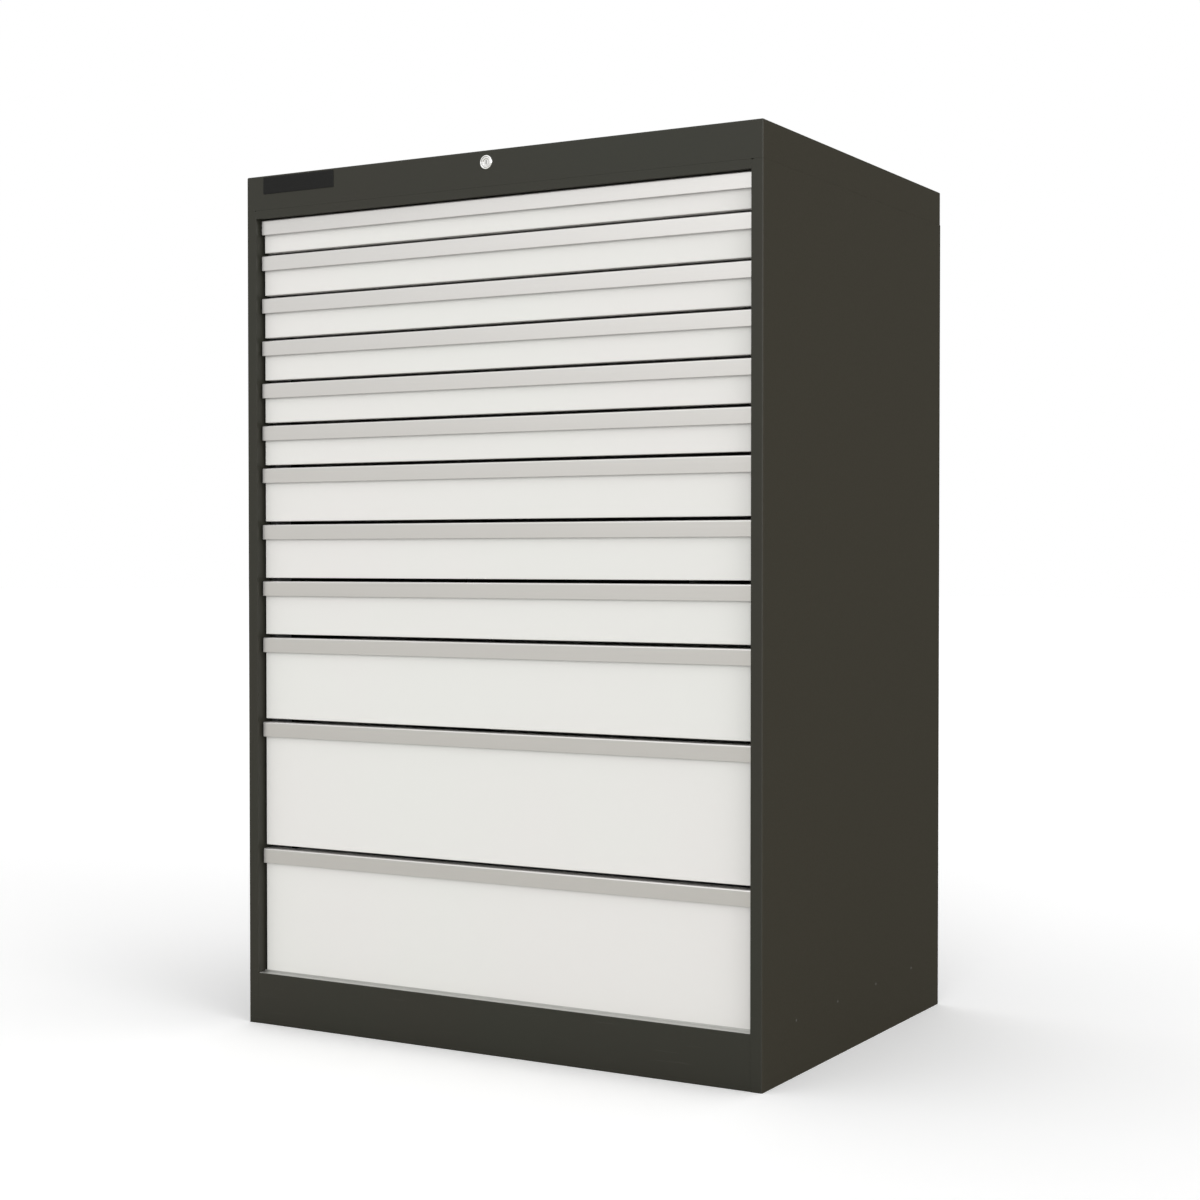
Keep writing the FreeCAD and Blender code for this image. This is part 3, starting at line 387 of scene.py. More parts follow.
def powder_coat(nodes, first, second, scuff, rough, gloss, scuff_height, side=None):
    """Powder coat: two close shades, orange peel, fine grain and faint scuffs low down.

    The side colour, for the housing, is painted light: its side faces get a lighter, warmer copy of the
    coat for the light on them. The housing also gets its weld marks.
    """
    cloud = nodes.noise(2.2, detail=3.0)
    grain = nodes.noise(1500, detail=1.0)
    peel = nodes.noise(330, detail=2.0)
    scratches = nodes.noise(24, stretch=(0.25, 0.25, 6), detail=6.0, roughness=0.62)
    x, _, height = nodes.parts(nodes.place())
    low = height.below(scuff_height, width=1.4 * scuff_height)
    worn = scratches.above(0.66, width=0.1) * low * 0.15
    base = nodes.blend(cloud.above(0.5, width=0.4), first, second)
    normal = nodes.bump(grain, distance=0.01 * MM, strength=0.35)
    normal = nodes.bump(peel, distance=0.06 * MM, strength=0.5, under=normal)
    if side:
        # Painted light: the side faces take the lighter, warmer side colour in place of the light that
        # falls on them.
        side_painted_light_mask = x.size().above(side_faces() - 0.6 * MM, width=0.6 * MM)
        base = nodes.blend(side_painted_light_mask, base, side)
        marks = weld_marks(nodes)
        worn = worn.at_least(marks)
        normal = nodes.bump(1 - marks, distance=0.4 * MM, strength=0.8, under=normal)
    return {
        "Base_Color": nodes.blend(worn, base, scuff),
        "Roughness": peel.about(rough, spread=0.12) + worn * 0.3,
        "Normal": normal,
        "Specular_IOR_Level": gloss,
    }


def anodised(nodes, shade):
    """Satin anodised extrusion: fine die lines along its length and soft cloudy roughness."""
    lines = nodes.noise(900, stretch=(0.004, 1, 1), detail=2.0)
    broad = nodes.noise(60, stretch=(0.02, 1, 1), detail=2.0)
    cloud = nodes.noise(3, detail=2.0)
    return {
        "Base_Color": nodes.blend(lines * 0.5 + broad * 0.5, shade, dimmed(shade, 0.93)),
        "Metallic": 0.75,
        "Roughness": lines.about(0.31, spread=0.1) + cloud.about(0, spread=0.05),
        "Normal": nodes.bump(lines, distance=0.01 * MM, strength=0.5),
    }


def plated(nodes, bright, dull, rough):
    """Zinc plating: small flakes of two shades, rolling lines and uneven gloss."""
    flakes = nodes.add("ShaderNodeTexVoronoi", None, Vector=nodes.place(), Scale=140.0, out="Color")
    flake = nodes.add("ShaderNodeSeparateColor", None, flakes)
    lines = nodes.noise(500, stretch=(1, 0.02, 1), detail=2.0)
    cloud = nodes.noise(9, detail=4.0)
    return {
        "Base_Color": nodes.blend(flake * 0.35 + cloud * 0.65, bright, dull),
        "Metallic": 0.6,
        "Roughness": cloud.about(rough, spread=0.16) + flake.about(0, spread=0.05),
        "Normal": nodes.bump(lines, distance=0.02 * MM, strength=0.4),
    }


def polished(nodes, shade, rough):
    """Nickel-chrome: almost even, with hairline marks."""
    marks = nodes.noise(420, stretch=(1, 1, 0.1), detail=3.0)
    cloud = nodes.noise(60, detail=2.0)
    return {
        "Base_Color": nodes.blend(cloud, shade, dimmed(shade, 0.94)),
        "Metallic": 1.0,
        "Roughness": marks.about(rough, spread=0.08),
        "Normal": nodes.bump(marks, distance=0.004 * MM, strength=0.4),
    }


def nylon(nodes, shade):
    """Moulded nylon: fine grain and a little milkiness in its shade."""
    grain = nodes.noise(1200, detail=2.0)
    cloud = nodes.noise(80, detail=2.0)
    return {
        "Base_Color": nodes.blend(cloud, shade, dimmed(shade, 0.85)),
        "Roughness": grain.about(0.42, spread=0.1),
        "Normal": nodes.bump(grain, distance=0.02 * MM, strength=0.4),
    }


def enamel(nodes, shade):
    """Satin dark enamel with a slight wave and a little dust."""
    wave = nodes.noise(90, detail=1.0)
    dust = nodes.noise(700, detail=2.0)
    dusty = tuple(part + 0.012 for part in shade)
    return {
        "Base_Color": nodes.blend(dust.above(0.62, width=0.2), shade, dusty),
        "Roughness": dust.about(0.3, spread=0.1),
        "Specular_IOR_Level": 0.18,
        "Normal": nodes.bump(wave, distance=0.05 * MM, strength=0.4),
    }


def finish(name):
    """The named finish as a material."""
    colours = bpy.context.scene.cabinet_colours
    c = {key: tuple(getattr(colours, key)) for key in CabinetColours.__annotations__}
    recipes = {
        # The housing's sides get painted light: a lighter, warmer copy of the coat.
        "housing_coat": lambda nodes: powder_coat(
            nodes, c["housing"], c["housing_cool"], c["housing_scuff"],
            rough=0.4, gloss=0.22, scuff_height=90 * MM, side=c["housing_side"],
        ),
        "drawer_coat": lambda nodes: powder_coat(
            nodes, c["drawer"], c["drawer_warm"], c["drawer_scuff"],
            rough=0.38, gloss=0.4, scuff_height=1 * MM,
        ),
        "anodised_handle": lambda nodes: anodised(nodes, c["handle"]),
        "zinc_plate": lambda nodes: plated(nodes, c["zinc"], c["zinc_dark"], rough=0.32),
        "lock_chrome_plate": lambda nodes: polished(nodes, c["chrome"], rough=0.16),
        "lock_plug_satin": lambda nodes: polished(nodes, c["plug"], rough=0.26),
        "roller_nylon": lambda nodes: nylon(nodes, c["nylon"]),
        "plate_enamel": lambda nodes: enamel(nodes, c["plate"]),
        # Painted sheen: the ledge strip's light satin finish stands in for light on the dark ledge.
        "sill_metal": lambda nodes: anodised(nodes, c["sill"]),
    }
    return material(name, recipes[name])


def coat_nodes(names, coat):
    """Gives a finish to CAD nodes that show as they are."""
    for name in names:
        slots = NODES[name].data.materials
        slots.clear()
        slots.append(coat)


def rounded(points, radius, steps=BEND_ARC, closed=True):
    """An outline whose corners are arcs.

    With unit vectors u and v from a corner to its neighbours and the angle a between them, the arc
    touches them at r / tan(a / 2), and its centre lies at r / sin(a / 2) along u + v. The points of the
    arc turn evenly from the first touching point to the second.
    """
    corners = np.asarray(points, float)
    ends = corners[[0]], corners[[-1]]
    before = np.roll(corners, 1, axis=0)
    after = np.roll(corners, -1, axis=0)
    radius = np.broadcast_to(np.asarray(radius, float), len(corners))
    if not closed:
        corners, before, after, radius = corners[1:-1], before[1:-1], after[1:-1], radius[1:-1]
    u = (before - corners) / np.linalg.norm(before - corners, axis=1, keepdims=True)
    v = (after - corners) / np.linalg.norm(after - corners, axis=1, keepdims=True)
    half = np.arccos(np.clip((u * v).sum(axis=1), -1, 1))[:, None] / 2
    r = radius[:, None]
    middle = (u + v) / np.linalg.norm(u + v, axis=1, keepdims=True)
    centre = corners + middle * r / np.sin(half)
    start = (corners + u * r / np.tan(half) - centre) / r
    end = (corners + v * r / np.tan(half) - centre) / r
    sweep = (math.pi - 2 * half)[:, None]
    t = np.linspace(0, 1, steps + 1)[None, :, None]
    arc = (np.sin((1 - t) * sweep) * start[:, None] + np.sin(t * sweep) * end[:, None]) / np.sin(sweep)
    curve = (centre[:, None] + r[:, None] * arc).reshape(-1, 2)
    return curve if closed else np.vstack([ends[0], curve, ends[1]])


def strip_faces(rows, columns, close_rows=False):
    """Quads between the rows of a grid of points whose rows are closed rings."""
    row = np.arange(rows if close_rows else rows - 1)[:, None]
    column = np.arange(columns)[None, :]
    this, following = row * columns, (row + 1) % rows * columns
    across = (column + 1) % columns
    quads = np.stack([this + column, this + across, following + across, following + column], axis=-1)
    return quads.reshape(-1, 4).tolist()


def end_faces(rows, columns):
    """The first and the last ring of such a grid as two faces."""
    last = (rows - 1) * columns
    return [list(range(columns)), list(range(last + columns - 1, last - 1, -1))]


class Shell:
    """Collects closed surfaces for one piece."""

    def __init__(self):
        self.points = []
        self.faces = []

    def take(self, points, faces):
        first = sum(map(len, self.points))
        self.points.append(points)
        self.faces += [[index + first for index in face] for face in faces]

    def extrusion(self, outline, axis, low, high):
        """An outline carried straight along an axis: P(i, t) = outline(i) + t axis, with flat ends.

        The outline's two coordinates are the other two axes, in the order X, Y, Z.
        """
        outline = np.asarray(outline, float)
        count = len(outline)
        points = np.empty((2, count, 3))
        points[:, :, [a for a in (X, Y, Z) if a != axis]] = outline
        points[:, :, axis] = [[low], [high]]
        self.take(points.reshape(-1, 3), strip_faces(2, count) + end_faces(2, count))

    def pan(self, low, high, axis, bend, profile, steps=BEND_ARC):
        """A profile carried round a rectangle with rounded corners.

        A profile point (d, h) gives the ring at height h of the rectangle drawn in by d, whose corner
        radius is the bend less d. The first and the last ring are filled.
        """
        a, b = [i for i in (X, Y, Z) if i != axis]
        rings = []
        for inset, height in profile:
            corners = rectangle(low[0] + inset, high[0] - inset, low[1] + inset, high[1] - inset)
            ring = np.empty((4 * (steps + 1), 3))
            ring[:, [a, b]] = rounded(corners, max(bend - inset, SHARPEST_CORNER), steps)
            ring[:, axis] = height
            rings.append(ring)
        grid = len(rings), len(rings[0])
        self.take(np.vstack(rings), strip_faces(*grid) + end_faces(*grid))

    def turned(self, profile, axis, centre, segments, ring=False):
        """A profile of (distance along the axis, radius) turned about an axis through the centre.

        P(i, a) = centre + along(i) axis + radius(i) (cos a, sin a). A ring's profile is a closed
        outline; otherwise the first and the last circle are filled.
        """
        profile = np.asarray(profile, float)
        angle = np.linspace(0, 2 * math.pi, segments, endpoint=False)
        a, b = [i for i in (X, Y, Z) if i != axis]
        points = np.empty((len(profile), segments, 3))
        points[:, :, axis] = centre[axis] + profile[:, :1]
        points[:, :, a] = centre[a] + profile[:, 1:] * np.cos(angle)
        points[:, :, b] = centre[b] + profile[:, 1:] * np.sin(angle)
        faces = strip_faces(len(profile), segments, close_rows=ring)
        if not ring:
            faces += end_faces(len(profile), segments)
        self.take(points.reshape(-1, 3), faces)

    def piece(self, name, coat, body, slot, replaces=()):
        """Makes the object, with outward normals, hangs it on its body and hides the CAD nodes that it
        replaces.
        """
        mesh = bpy.data.meshes.new(name)
        mesh.from_pydata(np.vstack(self.points).tolist(), [], self.faces)
        surface = bmesh.new()
        surface.from_mesh(mesh)
        bmesh.ops.recalc_face_normals(surface, faces=surface.faces)
        surface.to_mesh(mesh)
        surface.free()
        mesh.materials.append(coat)
        mesh.polygons.foreach_set("use_smooth", [True] * len(mesh.polygons))
        mesh.set_sharp_from_angle(angle=SHARP_ANGLE)
        made = bpy.data.objects.new(name, mesh)
        bpy.context.scene.collection.objects.link(made)
        made.modifiers.new("Flat faces stay flat", "WEIGHTED_NORMAL").keep_sharp = True
        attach(made, body)
        if replaces:
            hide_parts(*replaces)


def rectangle(left, right, low, high):
    """Corners of a rectangle."""
    return [(left, low), (right, low), (right, high), (left, high)]


def sheet_section(path, sheet):
    """Corners of the section of a sheet that is folded at right angles along a path.

    The path runs along one face, and the sheet lies on its right. With m and n for the unit normals of
    the two runs that meet at a point p, the other face has p + sheet (m + n) there, and p + sheet n at
    the path's ends. The corners follow the path and come back along the other face.
    """
    p = np.asarray(path, float)
    run = np.diff(p, axis=0)
    normal = run[:, ::-1] * (1, -1) / np.linalg.norm(run, axis=1, keepdims=True)
    shift = np.vstack([normal[:1], normal[:-1] + normal[1:], normal[-1:]])
    return np.vstack([p, (p + sheet * shift)[::-1]])


def bend_radii(corners, outer, sheet, cut_end=1.6):
    """Radius for each corner of a folded sheet's section.

    A corner whose two sides are both long is a bend: its outer face gets the outer radius, and its
    inner face gets that less the sheet. A side shorter than cut_end sheets is where the sheet is cut,
    and its corners stay nearly sharp.
    """
    p = np.asarray(corners, float)
    before = np.roll(p, 1, axis=0) - p
    after = np.roll(p, -1, axis=0) - p
    shortest = np.minimum(np.linalg.norm(before, axis=1), np.linalg.norm(after, axis=1))
    turning = before[:, 0] * after[:, 1] - before[:, 1] * after[:, 0]
    area = (p[:, 0] * after[:, 1] - p[:, 1] * after[:, 0]).sum()
    convex = turning * area < 0
    radii = np.where(convex, outer, max(outer - sheet, SHARPEST_BEND))
    return np.where(shortest < cut_end * sheet, CUT_EDGE, radii)


def folded(path, outer, sheet, steps=BEND_ARC):
    """A folded sheet's section along a path, with rounded bends."""
    corners = sheet_section(path, sheet)
    return rounded(corners, bend_radii(corners, outer, sheet), steps)


# The post's bend beside the drawers is nearly sharp, outside and inside.
POST_BEND, POST_INNER = 0.3 * MM, 0.2 * MM
# Roundings of the cap from inside its top down to the edge of its rim.
CAP_ROUNDING = np.array([0, 1, 0.2, 0.2, 0.2]) * MM
# The side panel's top edge at the seam has a small bevel, as a share of the seam's bend.
LID_BEVEL = 0.3
# Roundings of the strip from the top of its upstand down its back, round its nose and back.
STRIP_ROUNDING = np.array([0.2, 0.2, 0.1, 0.5, 0.4, 0.2]) * MM


class CABINET_OT_housing(bpy.types.Operator):
    """Make the folded sheets of the housing"""

    bl_idname = "cabinet.housing"
    bl_label = "Housing"

    def execute(self, context):
        s = context.scene.cabinet_sizes
        coat = finish("housing_coat")
        sheet = s.panel_sheet
        low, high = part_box("right_side_panel")
        half, front, rear, seam = high.x, low.y, high.y, high.z
        post, bevel = half - s.post_width, s.seam_bend * LID_BEVEL
        path = [(half - s.rear_flange, rear), (half, rear), (half, front)]
        path += [(post, front), (post, front + s.post_return)]
        for side, name in ((1, "right_side_panel"), (-1, "left_side_panel")):
            corners = sheet_section(path, sheet) * (side, 1)
            radii = bend_radii(corners, s.housing_bend, sheet)
            # The path's fourth point and the corner inside it.
            radii[[3, 6]] = POST_BEND, POST_INNER
            panel = Shell()
            panel.extrusion(rounded(corners, radii), Z, 0, seam - sheet)
            flange = sorted((side * half, side * (half - s.side_flange)))
            lid = [(0, seam - sheet), (0, seam - bevel), (bevel, seam)]
            panel.pan((flange[0], front), (flange[1], rear), Z, s.housing_bend, lid)
            panel.piece(name + "_bent", coat, "housing", "housing_paint", [name])

        cap_low, cap_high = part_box("top_cap")
        wall, top = s.cap_sheet, cap_high.z
        tip = wall + s.cap_return
        rim = [(tip, cap_low.z), (0, cap_low.z), (0, top), (tip, top)]
        profile = np.roll(sheet_section(rim, wall), len(rim), axis=0)
        radii = [*CAP_ROUNDING, s.seam_bend, s.housing_bend, 0]
        profile = rounded(profile, radii, SHOWN_ARC, closed=False)
        cap = Shell()
        cap.pan(cap_low.xy, cap_high.xy, Z, s.housing_bend, profile, CORNER_ARC)
        cap.piece("top_cap_bent", coat, "housing", "housing_paint", ["top_cap"])

        head_low, head_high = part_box("header_rail")
        deep, shallow = head_high.y, front + s.header_flange
        path = [(deep, head_low.z), (front, head_low.z), (front, seam), (shallow, seam)]
        header = Shell()
        header.extrusion(folded(path, s.seam_bend, sheet), X, head_low.x, head_high.x)
        header.piece("header_rail_bent", coat, "housing", "housing_paint", ["header_rail"])

        base_low, base_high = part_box("plinth_rail")
        ledge, deep, foot = base_high.z, front + s.post_return, front + s.plinth_foot
        toe_top = ledge - s.pan_drop + sheet
        path = [(foot, 0), (front, 0), (front, ledge), (deep, ledge)]
        path += [(deep, toe_top), (deep + s.pan_toe, toe_top)]
        plinth = Shell()
        section = folded(path, s.plinth_bend, sheet, SHOWN_ARC)
        plinth.extrusion(section, X, base_low.x, base_high.x)
        plinth.piece("plinth_rail_bent", coat, "housing", "housing_paint", ["plinth_rail"])

        # Painted sheen: a light satin strip on the dark ledge stands in for its sheen, and the strip's
        # upstand fills the shaded gap under the lowest drawer with a lit face.
        inner, thick = base_high.x - s.strip_gap, s.strip_thickness
        nose, back = front + s.strip_gap, front + s.strip_gap + s.strip_depth
        corners = sheet_section([(back, ledge + s.strip_rise), (back, ledge), (nose, ledge)], thick)
        strip = Shell()
        strip.extrusion(rounded(corners, STRIP_ROUNDING, EDGE_ARC), X, -inner, inner)
        strip.piece("ledge_strip", finish("sill_metal"), "housing", "housing_paint")
        coat_nodes(["back_panel", "floor_pan", "left_base_rail", "right_base_rail", "rear_base_rail"], coat)
        return {"FINISHED"}


class CABINET_OT_runners(bpy.types.Operator):
    """Finish the uprights, the fixed runners and the hidden parts of the lock"""

    bl_idname = "cabinet.runners"
    bl_label = "Runners"

    def execute(self, context):
        names = ["front_uprights", "rear_uprights", "left_runners", "right_runners", "lock_bar_guides"]
        names += ["lock_bar", "lock_shaft", "lock_crank", "lock_nut", "shaft_bearing"]
        coat_nodes(names, finish("zinc_plate"))
        return {"FINISHED"}


def roller_stations(low, high, s):
    """Where the rollers stand along a carriage: (face, y), with face 1 outside and -1 inside."""
    reach = s.roller_radius + s.roller_margin
    channel_front = low - s.carriage_setback + s.channel_wall
    rail_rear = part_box(DRAWERS[0] + "_tray")[1].y - s.catch_length - s.channel_wall
    half_travel = s.travel / 2
    return [
        (1, channel_front + reach + half_travel),
        (1, high - reach),
        (-1, low + reach),
        (-1, rail_rear - reach - half_travel),
    ]


# The dished face of a roller: gap round its rivet, outer edge of the dish and width of its slope.
RIVET_GAP, DISH_EDGE, DISH_SLOPE = 0.2 * MM, 2 * MM, 1 * MM
WHEEL_ROUNDING = np.array([0.2, 0.2, 0.4, 0.4, 0.8, 0.8]) * MM
# A rivet's head is so many times as wide as its shank, and its crown is narrower.
HEAD_WIDTH, CROWN_WIDTH = 1.7, 0.8
RIVET_ROUNDING = np.array([0, 0.1, 0.2, 0.6, 0]) * MM
# A turned profile ends just off its axis, in a small flat circle.
RIVET_POLE, PLUG_POLE = 0.05 * MM, 0.02 * MM
ROLLER_SEGMENTS, RIVET_SEGMENTS = 40, 20


class CABINET_OT_carriages(bpy.types.Operator):
    """Make the bars with their rollers and rivets"""

    bl_idname = "cabinet.carriages"
    bl_label = "Carriages"

    def execute(self, context):
        s = context.scene.cabinet_sizes
        zinc, roller_coat = finish("zinc_plate"), finish("roller_nylon")
        radius, face_out = s.roller_radius, s.roller_length
        hub, play, pin = face_out - s.hub_recess, s.roller_play, s.rivet_radius
        dish = radius - DISH_EDGE
        wheel = [(play, pin + RIVET_GAP), (hub, pin + RIVET_GAP), (hub, dish - DISH_SLOPE)]
        wheel += [(face_out, dish), (face_out, radius), (play, radius)]
        wheel = rounded(wheel, WHEEL_ROUNDING, EDGE_ARC)
        head = HEAD_WIDTH * pin
        crown = CROWN_WIDTH * head
        rivet = [(0, pin), (hub, pin), (hub, head), (face_out, crown), (face_out, RIVET_POLE)]
        rivet = rounded(rivet, RIVET_ROUNDING, EDGE_ARC, closed=False)
        for drawer in DRAWERS:
            node = drawer + "_carriage"
            body = "carriage_" + drawer[-2:]
            low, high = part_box(node)
            middle = (low.z + high.z) / 2
            bottom, top = middle - s.bar_height / 2, middle + s.bar_height / 2
            bar_outer = high.x - s.roller_length
            bar_inner = bar_outer - s.bar_thickness
            outline = rounded(rectangle(low.y, high.y, bottom, top), s.bar_nose, CORNER_ARC)
            bars, wheels, pins = Shell(), Shell(), Shell()
            for side in (1, -1):
                bars.extrusion(outline, X, *sorted((side * bar_inner, side * bar_outer)))
                for face, along in roller_stations(low.y, high.y, s):
                    centre = (side * (bar_outer if face > 0 else bar_inner), along, middle)
                    outward = (side * face, 1)
                    wheels.turned(wheel * outward, X, centre, ROLLER_SEGMENTS, ring=True)
                    pins.turned(rivet * outward, X, centre, RIVET_SEGMENTS)
            bars.piece(drawer + "_carriage_bars", zinc, body, "runner_steel", [node])
            wheels.piece(drawer + "_rollers", roller_coat, body, "runner_steel")
            pins.piece(drawer + "_roller_rivets", zinc, body, "runner_steel")
        return {"FINISHED"}


# Roundings of the front's box-folded edge, from inside the front round its rim to its face.
FRONT_ROUNDING = np.array([0, 0.6, 0.15, 0.15, 1.5, 0]) * MM


class CABINET_OT_trays(bpy.types.Operator):
    """Make the folded trays with their fronts, rails and catches"""

    bl_idname = "cabinet.trays"
    bl_label = "Trays"

    def execute(self, context):
        s = context.scene.cabinet_sizes
        coat = finish("drawer_coat")
        sheet, wall, bend = s.tray_sheet, s.channel_wall, s.tray_bend
        for drawer in DRAWERS:
            node = drawer + "_tray"
            low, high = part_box(node)
            top = high.z
            half_front = high.x
            face, face_rear = low.y, low.y + s.front_depth
            rear = high.y - s.catch_length
            half = half_front - s.rail_offset
            floor, rim = low.z, top - s.tray_top_drop
            hem = half + s.tray_hem
            tub = [(hem, rim - sheet), (half, rim - sheet), (half, floor)]
            tub += [(-x, z) for x, z in reversed(tub)]
            tray = Shell()
            tray.extrusion(folded(tub, bend, sheet), Y, face_rear + sheet, rear - sheet)
            tray.extrusion(rounded(rectangle(-half, half, floor, rim), bend), Y, rear - sheet, rear)
            liner = rounded(rectangle(-half_front, half_front, floor, top), bend)
            tray.extrusion(liner, Y, face_rear, face_rear + sheet)
            face_low = floor - s.floor_rise + s.front_gap
            face_high = top - s.grip_depth
            box = [(bend, face + sheet), (sheet, face + sheet), (sheet, face_rear), (0, face_rear)]
            box += [(0, face), (2 * bend, face)]
            box = rounded(box, FRONT_ROUNDING, SHOWN_ARC, closed=False)
            tray.pan((-half_front, face_low), (half_front, face_high), Y, s.front_bend, box)
            rail_low = floor + s.rail_rise
            rail_high = rail_low + s.rail_height
            tip = half + s.channel_depth
            rail = [(tip, rail_low), (half, rail_low), (half, rail_high), (tip, rail_high)]
            stop = rectangle(half + wall, tip, rail_low + wall, rail_high - wall)
            for side in (1, -1):
                section = folded(rail, s.rail_bend, wall) * (side, 1)
                tray.extrusion(section, Y, face_rear + sheet, rear)
                tray.extrusion(np.array(stop) * (side, 1), Y, rear - wall, rear)
            under = floor + s.catch_rise
            catch = [(rear, under + wall), (high.y, under + wall), (high.y, under - s.catch_lip)]
            tray.extrusion(folded(catch, s.catch_bend, wall), X, -s.catch_width / 2, s.catch_width / 2)
            tray.piece(drawer + "_tray_folded", coat, drawer, "drawer_paint", [node])
        return {"FINISHED"}


# Roundings of the handle before and after its top front edge, which has its own size: the bead and the
# foot of the lip, then the top's rear edge, the cup's edge and back along the inside to the bead.
HANDLE_FOOT = np.array([0.6, 0.5]) * MM
HANDLE_REST = np.array([0.4, 0.3, 0.3, 0.8, 1.2, 0.5, 0.6]) * MM


class CABINET_OT_handles(bpy.types.Operator):
    """Make the full-width extruded handles"""

    bl_idname = "cabinet.handles"
    bl_label = "Handles"

    def execute(self, context):
        s = context.scene.cabinet_sizes
        coat = finish("anodised_handle")
        wall = s.handle_wall
        radii = [*HANDLE_FOOT, s.handle_bend, *HANDLE_REST]
        for drawer in DRAWERS:
            node = drawer + "_handle"
            low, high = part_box(node)
            lip, rear, foot, top = low.y, high.y, low.z, high.z
            cup = top - s.grip_depth
            bead = lip + wall + s.handle_bead
            path = [(bead, foot), (lip, foot), (lip, top), (rear, top), (rear, cup)]
            section = rounded(sheet_section(path, wall), radii, SHOWN_ARC)
            handle = Shell()
            handle.extrusion(section, X, low.x, high.x)
            handle.piece(drawer + "_handle_extrusion", coat, drawer, "handle_aluminium", [node])
        return {"FINISHED"}


# The rim of the lock: gap round the plug, set-back and slope of its mouth, and slope of its outer edge.
PLUG_GAP, MOUTH_DEPTH, MOUTH_WIDTH, RIM_SLOPE = 0.15 * MM, 0.5 * MM, 0.6 * MM, 0.9 * MM
RIM_ROUNDING = np.array([0.15, 0.3, 0.8, 0.2, 0.05, 0.4, 0.1]) * MM
# The dish in the plug's face, and the shutter that stands a little proud of its bottom.
DISH_DEPTH, DISH_FLOOR, DISH_RIM = 0.9 * MM, 5.2 * MM, 6.2 * MM
PLUG_ROUNDING = np.array([0, 0.3, 0.3, 0.5, 0.3, 0]) * MM
SHUTTER_FACE, SHUTTER_BACK = 0.75 * MM, 1.4 * MM
SHUTTER_CORNER = 0.6
BARREL_SEGMENTS, PLUG_SEGMENTS = 72, 64


class CABINET_OT_lock(bpy.types.Operator):
    """Make the rim, the plug and the key shutter of the lock"""

    bl_idname = "cabinet.lock"
    bl_label = "Lock"

    def execute(self, context):
        s = context.scene.cabinet_sizes
        chrome = finish("lock_chrome_plate")
        low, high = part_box("lock_barrel")
        plug_low, plug_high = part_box("lock_plug")
        centre = ((low.x + high.x) / 2, 0, (low.z + high.z) / 2)
        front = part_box("top_cap")[0].y
        rim, bore = high.x, plug_high.x + PLUG_GAP
        body = rim - s.rim_overlap
        section = [(low.y + MOUTH_DEPTH, bore), (low.y, bore + MOUTH_WIDTH), (low.y, rim - RIM_SLOPE)]
        section += [(front, rim), (front, body), (high.y, body), (high.y, bore)]
        barrel = Shell()
        barrel.turned(rounded(section, RIM_ROUNDING, SHOWN_ARC), Y, centre, BARREL_SEGMENTS, ring=True)
        barrel.piece("lock_barrel_rim", chrome, "housing", "lock_chrome", ["lock_barrel"])

        face, dish, radius = plug_low.y, plug_low.y + DISH_DEPTH, plug_high.x
        section = [(dish, PLUG_POLE), (dish, DISH_FLOOR), (face, DISH_RIM)]
        section += [(face, radius), (plug_high.y, radius), (plug_high.y, PLUG_POLE)]
        plug = Shell()
        plug.turned(rounded(section, PLUG_ROUNDING, closed=False), Y, centre, PLUG_SEGMENTS)
        satin = finish("lock_plug_satin")
        plug.piece("lock_plug_turned", satin, "lock_cylinder", "lock_chrome", ["lock_plug"])

        slot_half, slot_reach = s.keyway_width / 2, s.keyway_length / 2
        outline = rectangle(-slot_half, slot_half, -slot_reach, slot_reach)
        outline = rounded(outline, slot_half * SHUTTER_CORNER)
        shutter = Shell()
        shutter.extrusion(outline + (centre[X], centre[Z]), Y, face + SHUTTER_FACE, face + SHUTTER_BACK)
        shutter.piece("lock_key_shutter", finish("plate_enamel"), "lock_cylinder", "lock_chrome")
        return {"FINISHED"}


# The plate's edge: how far its profile reaches in from the rim, and its roundings from back to face.
PLATE_EDGE = 4 * MM
PLATE_ROUNDING = np.array([0, 0.05, 0.45, 0]) * MM


class CABINET_OT_plate(bpy.types.Operator):
    """Make the bare plate on the cap"""

    bl_idname = "cabinet.plate"
    bl_label = "Bare plate"

    def execute(self, context):
        s = context.scene.cabinet_sizes
        low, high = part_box("top_cap")
        left, top = s.plate_left, high.z - s.plate_top
        right, bottom = left + s.plate_width, top - s.plate_height
        face = low.y - s.plate_thickness
        profile = [(PLATE_EDGE, low.y), (0, low.y), (0, face), (PLATE_EDGE, face)]
        profile = rounded(profile, PLATE_ROUNDING, closed=False)
        plate = Shell()
        plate.pan((left, bottom), (right, top), Y, s.plate_corner, profile, CORNER_ARC)
        plate.piece("bare_plate", finish("plate_enamel"), "housing", "housing_paint")
        return {"FINISHED"}


